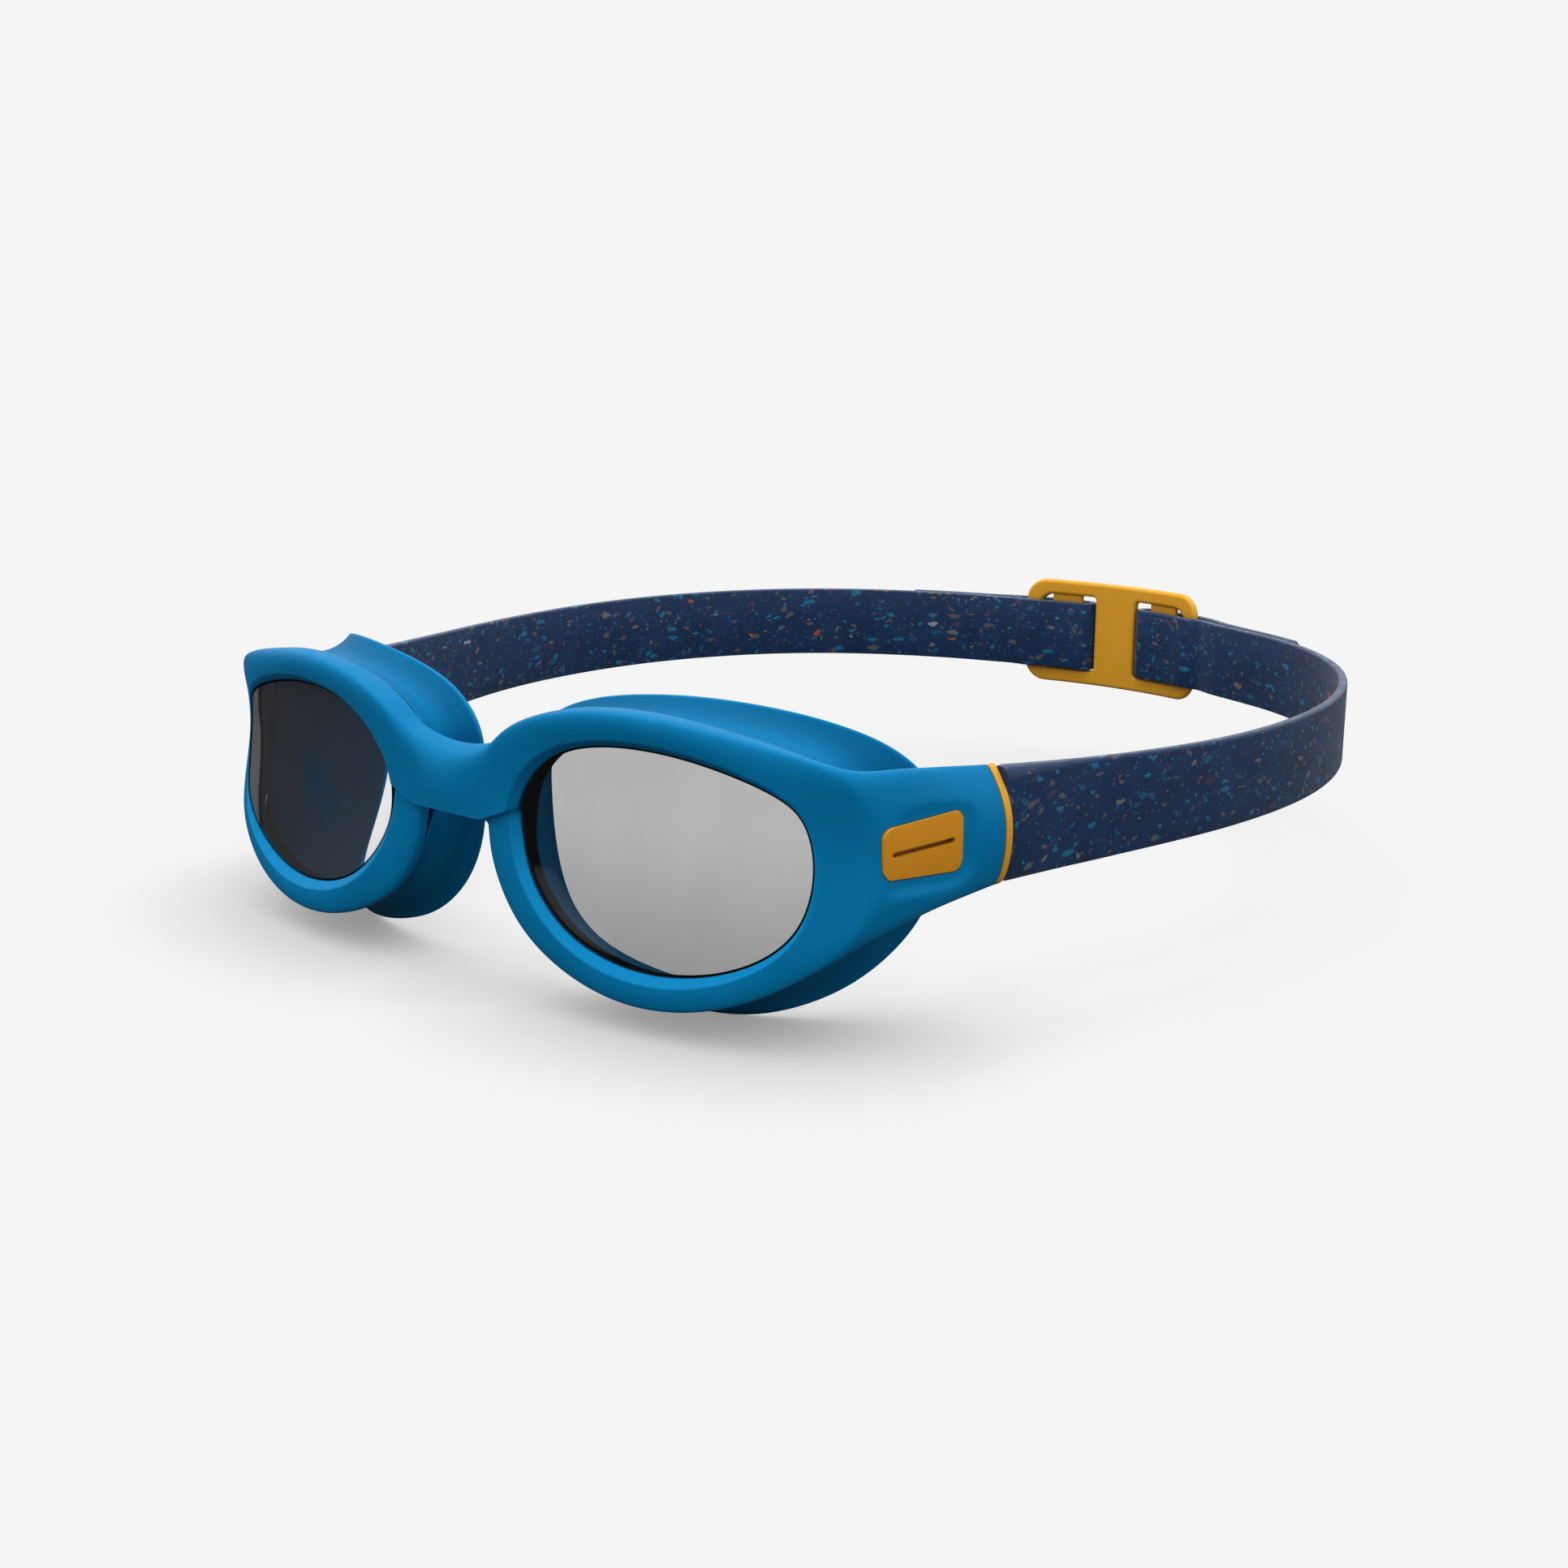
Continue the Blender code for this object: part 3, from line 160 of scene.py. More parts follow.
SEAL_NARROW = 2.6           # how much narrower it is at the temple
GASKET_WALL = 1.6

# Connector inside the arm, and the collar at the arm's end.
SLOT_Y = (17.3, 46.0)       # slot in the arm, open at its rear end
SLOT_HEIGHT, SLOT_THICK = 12.0, 2.2
SLOT_DEPTH = 3.3            # middle of the slot below the arm's outer side
CONNECTOR_Y = (17.7, 35.4)
CONNECTOR_HALF_H, CONNECTOR_THICK = 5.6, 1.6
BADGE = [(15.9, -3.5), (15.9, 4.6), (33.4, 4.9), (33.4, -5.0)]      # corners (y, z)
BADGE_RADIUS = 2.0
BADGE_GAP = 0.10            # between the badge and the arm's window
BADGE_TOP = 1.02            # depth of the badge's face below the arm's outer side
DISH = 1.15                 # depth of the shallow dish round the badge
SLIT_Y, SLIT_Z, SLIT_WIDTH = (17.6, 31.4), 0.3, 0.8     # groove along the badge
COLLAR_Y = (42.5, 44.1)

# Strap: half of the plan curve of its outer side, arm to buckle (x, y).
LOOP = [(78.2, 44.4), (80.9, 55.5), (85.5, 71.8), (89.8, 89.8), (91.8, 110.0),
        (90.0, 131.6), (82.6, 154.0), (68.8, 174.0), (49.0, 188.6), (33.0, 195.3)]
STRAP_THICK = 1.7
STRAP_HALF_H = 7.85         # half height at the back
STRAP_HALF_H_ARM = 9.4      # half height at the collar
WIDE_TO = 110.0             # y where the widening towards the collar has ended
STRAP_THICK_ARM = 3.4       # thickness of the moulded end next to the collar
THICK_TO = 64.0             # y where the moulded end has thinned out
TONGUE_HALF_H = 5.3
TONGUE_Y = 35.9             # end of the tongue inside the arm
TONGUE_ROWS = 8
STRAP_RISE = 0.55           # the straps climb this much towards the buckle
STRAP_BACK_Y = 198.4        # outer face of the strap at the buckle's ends
SPLIT_Y = 112.0             # each strap is made of two pieces, meeting here
TAIL_RUN = 34.5             # length of the tail along the strap's outer side
# In front of the buckle's end and bar: (x from the buckle's middle, y from STRAP_BACK_Y)
OVER_BAR = ((22.0, -0.98), (19.1, -0.40), (16.2, 0.72), (12.6, 1.55))
# Behind them: x from the buckle's middle
BEHIND_BAR = (12.8, 16.4, 19.1, 22.0)
# Rounded tip of the tail: (distance on, half height)
TAIL_TIP = ((1.0, 7.3), (1.9, 6.6), (2.4, 5.4), (2.6, 3.9))

# Rear buckle: a curved ladder plate with two bars.
BUCKLE_X, BUCKLE_Z = 2.1, 1.15
BUCKLE_Y = 201.5            # front face at the middle
BUCKLE_RADIUS = 83.0        # plan curvature
BUCKLE_THICK = 2.1
BUCKLE_HALF_W, BUCKLE_HALF_H = 22.4, 12.05
BUCKLE_CORNER = 4.8
WINDOW_X, WINDOW_HALF_H = (5.35, 19.1), 8.7
BAR_X = (9.2, 16.4)         # bar across each window
BAR_DEPTH = (0.7, 1.95)     # depth of the bar in the plate's thickness
BAR_THICK = BAR_DEPTH[1] - BAR_DEPTH[0]


# ------------------------------------------------------------ plain geometry
def clamp(value):
    return min(max(value, 0.0), 1.0)


def eased(t):
    return t * t * (3 - 2 * t)


def fit_cubic(keys, closed=False):
    """Keys, chord parameters and second derivatives of a cubic spline."""
    p = np.asarray(keys, float)
    if closed:
        p = np.vstack([p, p[:1]])
    t = np.concatenate([[0.0], np.cumsum(np.linalg.norm(np.diff(p, axis=0), axis=1))])
    count = len(p)
    h = np.diff(t)
    a = np.zeros((count, count))
    b = np.zeros_like(p)
    for i in range(1, count - 1):
        a[i, i - 1], a[i, i], a[i, i + 1] = h[i - 1], 2 * (h[i - 1] + h[i]), h[i]
        b[i] = 6 * ((p[i + 1] - p[i]) / h[i] - (p[i] - p[i - 1]) / h[i - 1])
    if closed:
        a[0, 0], a[0, -1] = 1, -1
        a[-1, 0], a[-1, 1] = 2 * h[0], h[0]
        a[-1, -2], a[-1, -1] = h[-1], 2 * h[-1]
        b[-1] = 6 * ((p[1] - p[0]) / h[0] - (p[-1] - p[-2]) / h[-1])
    else:
        a[0, 0] = a[-1, -1] = 1
    return p, t, np.linalg.solve(a, b)


def cubic_at(fit, u):
    """Points of a fitted cubic at the parameters u."""
    p, t, m = fit
    k = np.clip(np.searchsorted(t, u, side="right") - 1, 0, len(t) - 2)
    h = (t[k + 1] - t[k])[:, None]
    a = (t[k + 1] - u)[:, None] / h
    b = (u - t[k])[:, None] / h
    return a * p[k] + b * p[k + 1] + ((a ** 3 - a) * m[k] + (b ** 3 - b) * m[k + 1]) * h * h / 6


def spline(keys, count, closed=False):
    """Points evenly spaced along a cubic spline through the keys."""
    fit = fit_cubic(keys, closed)
    fine = cubic_at(fit, np.linspace(0, fit[1][-1], 1200))
    run = np.concatenate([[0.0], np.cumsum(np.linalg.norm(np.diff(fine, axis=0), axis=1))])
    if closed:
        even = np.linspace(0, run[-1], count + 1)[:-1]
    else:
        even = np.linspace(0, run[-1], count)
    return np.stack([np.interp(even, run, fine[:, j]) for j in range(fine.shape[1])], 1)


def along(points):
    """Unit tangents and outward normals of a plan curve."""
    t = np.gradient(np.asarray(points, float), axis=0)
    t /= np.linalg.norm(t, axis=1)[:, None]
    return t, np.stack([t[:, 1], -t[:, 0]], 1)


def box(x0, x1, z0, z1):
    return [(x0, z0), (x0, z1), (x1, z1), (x1, z0)]


def rounded(corners, radius, steps):
    """Polygon with its corners replaced by arcs."""
    c = np.asarray(corners, float)
    out = []
    for i in range(len(c)):
        p, a, b = c[i], c[i - 1] - c[i], c[(i + 1) % len(c)] - c[i]
        a, b = a / np.linalg.norm(a), b / np.linalg.norm(b)
        half = math.acos(max(-1, min(1, float(a @ b)))) / 2
        reach = radius / math.tan(half)
        middle = p + (a + b) / np.linalg.norm(a + b) * radius / math.sin(half)
        start, end = p + a * reach - middle, p + b * reach - middle
        a0, a1 = math.atan2(start[1], start[0]), math.atan2(end[1], end[0])
        while a1 - a0 > math.pi:
            a1 -= 2 * math.pi
        while a0 - a1 > math.pi:
            a1 += 2 * math.pi
        for k in range(steps + 1):
            t = a0 + (a1 - a0) * k / steps
            out.append((middle[0] + radius * math.cos(t), middle[1] + radius * math.sin(t)))
    return out


def outline_distance(points, outline):
    """Signed distance from points to a closed outline, negative inside."""
    a = np.asarray(outline, float)
    b = np.roll(a, -1, 0)
    d = b - a
    t = np.clip(((points[:, None] - a) * d).sum(2) / (d * d).sum(1), 0, 1)
    distance = np.linalg.norm(points[:, None] - (a + t[..., None] * d), axis=2).min(1)
    x, y = points[:, 0][:, None], points[:, 1][:, None]
    crossed = ((a[:, 1] > y) != (b[:, 1] > y)) & (
        x < (b[:, 0] - a[:, 0]) * (y - a[:, 1]) / (b[:, 1] - a[:, 1] + 1e-12) + a[:, 0])
    return np.where(crossed.sum(1) % 2 == 1, -distance, distance)


def bands(rings, size, start=0, closed=False, flip=False):
    """Quads between successive closed rings of `size` vertices each."""
    quads = []
    for r in range(rings if closed else rings - 1):
        a, b = start + r * size, start + (r + 1) % rings * size
        for i in range(size):
            j = (i + 1) % size
            if flip:
                quads.append((a + j, a + i, b + i, b + j))
            else:
                quads.append((a + i, a + j, b + j, b + i))
    return quads


def arm_point(y_on_arm, depth, z):
    """Point on the left arm, a depth below its outer side."""
    s = (y_on_arm - ARM_REF[1]) / math.cos(ARM_TILT)
    return (ARM_REF[0] + s * math.sin(ARM_TILT) - depth * math.cos(ARM_TILT),
            ARM_REF[1] + s * math.cos(ARM_TILT) + depth * math.sin(ARM_TILT), z)


def to_arm(p):
    """(y on the arm, depth below the outer side, z) of a point near an arm."""
    dx, dy = abs(p[0]) - ARM_REF[0], p[1] - ARM_REF[1]
    s = dx * math.sin(ARM_TILT) + dy * math.cos(ARM_TILT)
    return (ARM_REF[1] + s * math.cos(ARM_TILT),
            -dx * math.cos(ARM_TILT) + dy * math.sin(ARM_TILT), p[2])


def arm_profile(station):
    """Outer and inner side of an arm station as (depth, z) points, top to bottom."""
    _, top, bottom, thick, round_top, round_bottom = station
    outer, inner = [], []
    for m in range(ARM_COUNT):
        t = m / (ARM_COUNT - 1)
        e = abs(2 * t - 1)
        z = top + (bottom - top) * t
        outer.append((round_top * e ** 2 if t < 0.5 else round_bottom * e ** 2.6, z))
        inner.append((thick - 0.5 * e ** 4, z * 0.985))
    return outer, inner


def prism(outline, depth0, depth1):
    """Solid on the arm from an outline of (y, z) between two depths."""
    n = len(outline)
    verts = [arm_point(y, depth, z) for depth in (depth0, depth1) for y, z in outline]
    faces = [tuple(range(n)), tuple(range(2 * n - 1, n - 1, -1))]
    return verts, faces + bands(2, n)


# ------------------------------------------------------------ mesh utilities
def solid(name, verts, faces, material=None, side=1, smooth=True, front_face=None,
          creases=None):
    """Object from millimetre vertices of the left side, mirrored for side -1.

    Faces are turned outwards; on an open mesh the one named by front_face
    is made to face -Y.
    """
    points = np.array(verts, float) * MM
    if side < 0:
        points[:, 0] *= -1
    mesh = bpy.data.meshes.new(name)
    mesh.from_pydata(points.tolist(), [], faces)
    mesh.update()
    bm = bmesh.new()
    bm.from_mesh(mesh)
    bm.verts.ensure_lookup_table()
    bmesh.ops.recalc_face_normals(bm, faces=bm.faces[:])
    bm.faces.ensure_lookup_table()
    if front_face is not None:
        inside_out = bm.faces[front_face].normal.y > 0
    else:
        inside_out = bm.calc_volume(signed=True) < 0
    if inside_out:
        bmesh.ops.reverse_faces(bm, faces=bm.faces[:])
    if creases:
        layer = bm.edges.layers.float.new("crease_edge")
        for i, j, crease in creases:
            edge = bm.edges.get((bm.verts[i], bm.verts[j]))
            if edge is not None:
                edge[layer] = max(edge[layer], crease)
    for face in bm.faces:
        face.smooth = smooth
    bm.to_mesh(mesh)
    bm.free()
    ob = bpy.data.objects.new(name, mesh)
    bpy.context.scene.collection.objects.link(ob)
    if material is not None:
        mesh.materials.append(material)
    return ob


def evaluated_mesh(ob):
    depsgraph = bpy.context.evaluated_depsgraph_get()
    return bpy.data.meshes.new_from_object(ob.evaluated_get(depsgraph))


def apply_modifiers(ob):
    mesh = evaluated_mesh(ob)
    ob.modifiers.clear()
    ob.data = mesh
    mesh.name = ob.name


def subdivide(ob):
    m = ob.modifiers.new("round", "SUBSURF")
    m.levels = m.render_levels = 3
    apply_modifiers(ob)


def boolean(ob, other, operation="DIFFERENCE"):
    m = ob.modifiers.new("b", "BOOLEAN")
    m.operation = operation
    m.solver = "EXACT"
    m.object = other
    apply_modifiers(ob)
    bpy.data.objects.remove(other, do_unlink=True)


def only_material(ob, material):
    """Drop the slots that booleans leave behind."""
    ob.data.materials.clear()
    ob.data.materials.append(material)


def mark(ob, name, values):
    """Store one number per vertex for the material."""
    ob.data.attributes.new(name, "FLOAT", "POINT").data.foreach_set("value", values)


def settle(ob, sharp_angle):
    """Shade smooth below the angle; move the mesh to the part's own frame."""
    ob.data.polygons.foreach_set("use_smooth", [True] * len(ob.data.polygons))
    ob.data.set_sharp_from_angle(angle=math.radians(sharp_angle))
    ob.data.transform(Matrix.Translation(SHIFT))
    ob.data.update()


def register(ob, part, body="mask"):
    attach(ob, body)
    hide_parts(part)


# ------------------------------------------------------------ node utilities
class Nodes:
    """Thin helper that adds nodes and links to a material or world."""

    def __init__(self, owner):
        owner.use_nodes = True
        self.owner = owner
        self.tree = owner.node_tree
        self.bsdf = self.tree.nodes.get("Principled BSDF")

    def fill(self, node, inputs):
        """Link or set a node's inputs, given by index or name."""
        for key, value in inputs.items():
            if hasattr(value, "node"):
                self.tree.links.new(value, node.inputs[key])
            else:
                node.inputs[key].default_value = value

    def add(self, kind, inputs=None, **props):
        node = self.tree.nodes.new(kind)
        for key, value in props.items():
            setattr(node, key, value)
        self.fill(node, inputs or {})
        return node

    def output(self, shader):
        """Send a shader to the material's output in place of the Principled one."""
        self.fill(self.tree.nodes["Material Output"], {"Surface": shader})
        self.tree.nodes.remove(self.bsdf)

    def math(self, operation, a, b, c=0.0):
        return self.add("ShaderNodeMath", {0: a, 1: b, 2: c}, operation=operation).outputs[0]

    def times(self, a, b):
        return self.math("MULTIPLY", a, b)

    def inverse(self, value):
        return self.math("SUBTRACT", 1.0, value)

    def vmath(self, operation, a, b):
        return self.add("ShaderNodeVectorMath", {0: a, 1: b}, operation=operation).outputs[0]

    def scale(self, vector, factor):
        return self.add("ShaderNodeVectorMath", {0: vector, "Scale": factor},
                        operation="SCALE").outputs[0]

    def mix(self, factor, a, b, blend="MIX"):
        a, b = (q if hasattr(q, "node") else (*q, 1) for q in (a, b))
        return self.add("ShaderNodeMix", {0: factor, 6: a, 7: b},
                        data_type="RGBA", blend_type=blend).outputs[2]

    def mix_shader(self, factor, a, b):
        return self.add("ShaderNodeMixShader", {0: factor, 1: a, 2: b}).outputs[0]

    def diffuse(self, colour):
        return self.add("ShaderNodeBsdfDiffuse", {0: (*colour, 1)}).outputs[0]

    def ramp(self, factor, stops, interpolation="LINEAR"):
        """Colour ramp from (position, colour) stops."""
        node = self.add("ShaderNodeValToRGB", {0: factor})
        node.color_ramp.interpolation = interpolation
        elements = node.color_ramp.elements
        while len(elements) > 1:
            elements.remove(elements[-1])
        for k, (at, colour) in enumerate(stops):
            element = elements[0] if k == 0 else elements.new(at)
            element.position = at
            element.color = (*colour, 1)
        return node.outputs[0]

    def remap(self, value, source, target=(0.0, 1.0), smooth=True):
        """Carry the source range over to the target range, clamped."""
        return self.add("ShaderNodeMapRange",
                        dict(enumerate((value, *source, *target))),
                        interpolation_type="SMOOTHSTEP" if smooth else "LINEAR").outputs[0]

    def noise(self, where, scale, detail, roughness=0.5, dims="3D", output=0):
        return self.add("ShaderNodeTexNoise",
                        {"Vector": where, "Scale": scale, "Detail": detail,
                         "Roughness": roughness}, noise_dimensions=dims).outputs[output]

    def bump(self, height, strength, distance):
        return self.add("ShaderNodeBump", {"Strength": strength, "Distance": distance,
                                           "Height": height}).outputs[0]

    def geometry(self, output):
        return self.add("ShaderNodeNewGeometry").outputs[output]

    def attribute(self, name):
        return self.add("ShaderNodeAttribute", attribute_name=name).outputs["Fac"]

    def camera_ray(self):
        return self.add("ShaderNodeLightPath").outputs["Is Camera Ray"]

    def xyz(self, vector):
        return self.add("ShaderNodeSeparateXYZ", {0: vector}).outputs

    def openness(self, distance, samples):
        """1 in the open, towards 0 where surfaces within the distance close in."""
        return self.add("ShaderNodeAmbientOcclusion", {"Distance": distance},
                        samples=samples).outputs["AO"]

    def layout_position(self):
        """Place in the layout's frame (metres)."""
        return self.vmath("SUBTRACT", self.add("ShaderNodeTexCoord").outputs["Object"],
                          tuple(SHIFT))

    def crevice_shaded(self, colour, reach, darkest):
        """Colour multiplied down to `darkest` inside creases narrower than reach."""
        light = self.remap(self.openness(reach, samples=4), (0.12, 0.88), (darkest, 1.0))
        return self.scale(colour, light)


# --------------------------------------------------------------- materials
SPREAD = (0.3, 0.7)         # the well-filled middle of a noise's values


def tinted(colour, factor, lift=0.0):
    return [min(q * factor + lift, 1) for q in colour]


def grey(value):
    return (value, value, value)


def moulded_rubber(name, colour, roughness, specular, glint):
    """Satin moulded elastomer: faint mottling, fine eroded-mould grain, painted light and
    shade.

    Glint is how much lighter the convex edges are painted: a painted highlight.
    """
    n = Nodes(bpy.data.materials.new(name))
    place = n.layout_position()
    cloud = n.noise(place, scale=55.0, detail=3.0)
    fine = n.noise(place, scale=2600.0, detail=2.0, roughness=0.6)
    middle = n.noise(place, scale=420.0, detail=2.0)
    body = n.mix(n.remap(cloud, SPREAD), tinted(colour, 0.955), tinted(colour, 1.04))
    body = n.mix(n.remap(fine, (0.35, 0.65), target=(0.0, 0.10)), body, tinted(colour, 1.18))
    # painted highlight: convex edges are painted lighter by glint
    body = n.mix(n.remap(n.geometry("Pointiness"), (0.505, 0.56), target=(0.0, glint)), body,
                 tinted(colour, factor=1.45, lift=0.004))
    # painted shading: brightness along the flare, from the seat (0) to the sealing edge (1),
    # halved
    tone = n.ramp(n.attribute("flare"), ((0.0, grey(0.5)), (0.35, grey(0.60)),
                                         (0.74, grey(0.445)), (1.0, grey(0.49))))
    body = n.scale(body, n.times(tone, 2.0))
    # painted highlight: upward-facing rims and bevels are painted lighter, as if catching the
    # light
    upward = n.remap(n.xyz(n.geometry("Normal"))[2], (-0.05, 0.5))
    band = n.remap(n.attribute("band"), (0.80, 0.93), target=(0.0, 0.62))
    body = n.mix(n.times(band, upward), body, tinted(colour, factor=1.75, lift=0.003))
    grain = n.math("ADD", n.times(fine, 0.55), n.times(middle, 0.45))
    n.fill(n.bsdf, {
        "Base Color": n.crevice_shaded(body, reach=0.0030, darkest=0.42),
        "Roughness": n.remap(middle, SPREAD, target=(roughness - 0.035, roughness + 0.05)),
        "Specular IOR Level": specular,
        "Normal": n.bump(grain, strength=0.28, distance=0.00006)})
    return n.owner


def amber_plastic(name, colour, roughness, reach, darkest):
    """Hard translucent-looking plastic, satin, with mould grain, faint flow, a painted
    highlight on convex edges and painted shade in creases.
    """
    n = Nodes(bpy.data.materials.new(name))
    place = n.layout_position()
    flow = n.noise(n.vmath("MULTIPLY", place, (1.0, 1.0, 1.3)), scale=70.0, detail=2.0)
    fine = n.noise(place, scale=3200.0, detail=2.0, roughness=0.6)
    speck = n.noise(place, scale=900.0, detail=1.0, roughness=0.4)
    body = n.mix(n.remap(flow, SPREAD), tinted(colour, 0.975), tinted(colour, 1.02))
    body = n.mix(n.remap(speck, (0.68, 0.76), target=(0.0, 0.10)), body, tinted(colour, 0.6))
    # painted highlight: convex edges are painted a brighter orange
    painted_edge_highlight = (1.0, 0.52, 0.04)
    body = n.mix(n.remap(n.geometry("Pointiness"), (0.51, 0.60), target=(0.0, 0.22)), body,
                 painted_edge_highlight)
    n.fill(n.bsdf, {
        "Base Color": n.crevice_shaded(body, reach, darkest),
        "Roughness": n.remap(flow, SPREAD, target=(roughness - 0.02, roughness + 0.03)),
        "Specular IOR Level": 0.22,
        "Subsurface Weight": 0.12,
        "Subsurface Radius": (0.0012, 0.0006, 0.0002),
        "Subsurface Scale": 1.0,
        "Normal": n.bump(fine, strength=0.22, distance=0.00005)})
    return n.owner


TEAL, DARK_TEAL = (0.012, 0.19, 0.36), (0.010, 0.11, 0.23)
TAUPE, PALE_TAUPE = (0.135, 0.115, 0.125), (0.20, 0.175, 0.18)
PLUM, RUST, CHALK = (0.085, 0.045, 0.105), (0.52, 0.085, 0.035), (0.42, 0.42, 0.42)
# Share of each hue among the chips, as (start, colour) over 0 to 1.
CHIP_HUES = ((0.0, TEAL), (0.30, DARK_TEAL), (0.52, TAUPE), (0.80, PALE_TAUPE),
             (0.87, PLUM), (0.975, RUST), (0.982, CHALK), (0.988, TEAL))
# Layers of chips: turn (radians), cells per cm along and across, share of cells
# with a chip, smallest and largest size (in cells), wobble (cm), pattern offset.
CHIP_LAYERS = ((0.04, 2.0, 5.2, 0.55, 0.06, 0.30, 0.10, 0.0),
               (0.55, 2.6, 5.4, 0.40, 0.06, 0.27, 0.09, 7.3),
               (-0.45, 3.1, 6.2, 0.42, 0.06, 0.26, 0.08, 13.1),
               (1.35, 3.4, 5.6, 0.20, 0.05, 0.24, 0.08, 21.7),
               (0.15, 7.0, 9.5, 0.34, 0.08, 0.26, 0.05, 33.9))


def chip_layer(n, uv, wobbly, layer):
    """Mask and colour of one layer of chips."""
    turn, cells_along, cells_across, share, smallest, largest, wobble, offset = layer
    where = n.vmath("ADD", uv, n.vmath("MULTIPLY", wobbly, (wobble, wobble, 0)))
    where = n.add("ShaderNodeMapping", {"Vector": where, "Rotation": (0, 0, turn)}).outputs[0]
    where = n.vmath("MULTIPLY", where, (cells_along, cells_across, 1.0))
    where = n.vmath("ADD", where, (offset, offset * 1.7, 0))
    cells = n.add("ShaderNodeTexVoronoi", {"Vector": where, "Scale": 1.0},
                  voronoi_dimensions="2D", feature="F1").outputs
    # three random numbers per cell: chip or not, its size, its hue
    chance, growth, hue = n.add("ShaderNodeSeparateColor", {0: cells["Color"]}).outputs
    present = n.math("LESS_THAN", chance, share)
    size = n.times(n.times(growth, growth), largest - smallest)
    size = n.times(n.math("ADD", size, smallest), present)
    inside = n.math("SUBTRACT", size, cells["Distance"])
    return n.remap(inside, (-0.004, 0.022)), n.ramp(hue, CHIP_HUES, "CONSTANT")


def chipped_silicone(name, base, roughness):
    """Silicone with moulded-in recycled chips of several sizes and hues."""
    n = Nodes(bpy.data.materials.new(name))
    uv = n.add("ShaderNodeUVMap", uv_map="run").outputs[0]       # centimetres
    wobbly = n.noise(uv, scale=9.0, detail=2.0, roughness=0.6, dims="2D", output="Color")
    wobbly = n.vmath("SUBTRACT", wobbly, grey(0.5))
    cloud = n.noise(uv, scale=1.3, detail=4.0, roughness=0.55, dims="2D")
    colour = n.mix(n.remap(cloud, SPREAD), tinted(base, 0.86), tinted(base, 1.12))
    height = 0.0
    for layer in CHIP_LAYERS:
        mask, chip = chip_layer(n, uv, wobbly, layer)
        colour = n.mix(n.times(mask, 0.92), colour, chip)
        height = n.math("ADD", height, n.times(mask, 0.25))
    place = n.layout_position()
    fine = n.noise(place, scale=2200.0, detail=2.0, roughness=0.6)
    middle = n.noise(place, scale=300.0, detail=2.0)
    height = n.math("ADD", n.times(fine, 0.5), height)
    n.fill(n.bsdf, {
        "Base Color": colour,
        "Roughness": n.remap(middle, SPREAD, target=(roughness - 0.05, roughness + 0.06)),
        "Specular IOR Level": 0.34,
        "Sheen Weight": 0.14,
        "Sheen Roughness": 0.45,
        "Normal": n.bump(height, strength=0.25, distance=0.00005)})
    return n.owner


# Places on the lens, in metres from the layout's middle.
LENS_DARKER_DOWN_Z = (-0.021, 0.004)            # the lens is darker towards the bottom over this height
TEMPLE_STRIP_X = (0.0602, 0.0608)       # start of the bevelled temple edge
TEMPLE_LINE_X = (0.0584, 0.0589)        # start of the brown line beside it
NOSE_EDGE_X = (0.0180, 0.0186)          # end of the clear nose edge, at z = 0
NOSE_EDGE_SLOPE = 0.37                  # its x per z
SHEET_SHIFT = 0.0042                    # the line of sight, one sheet further


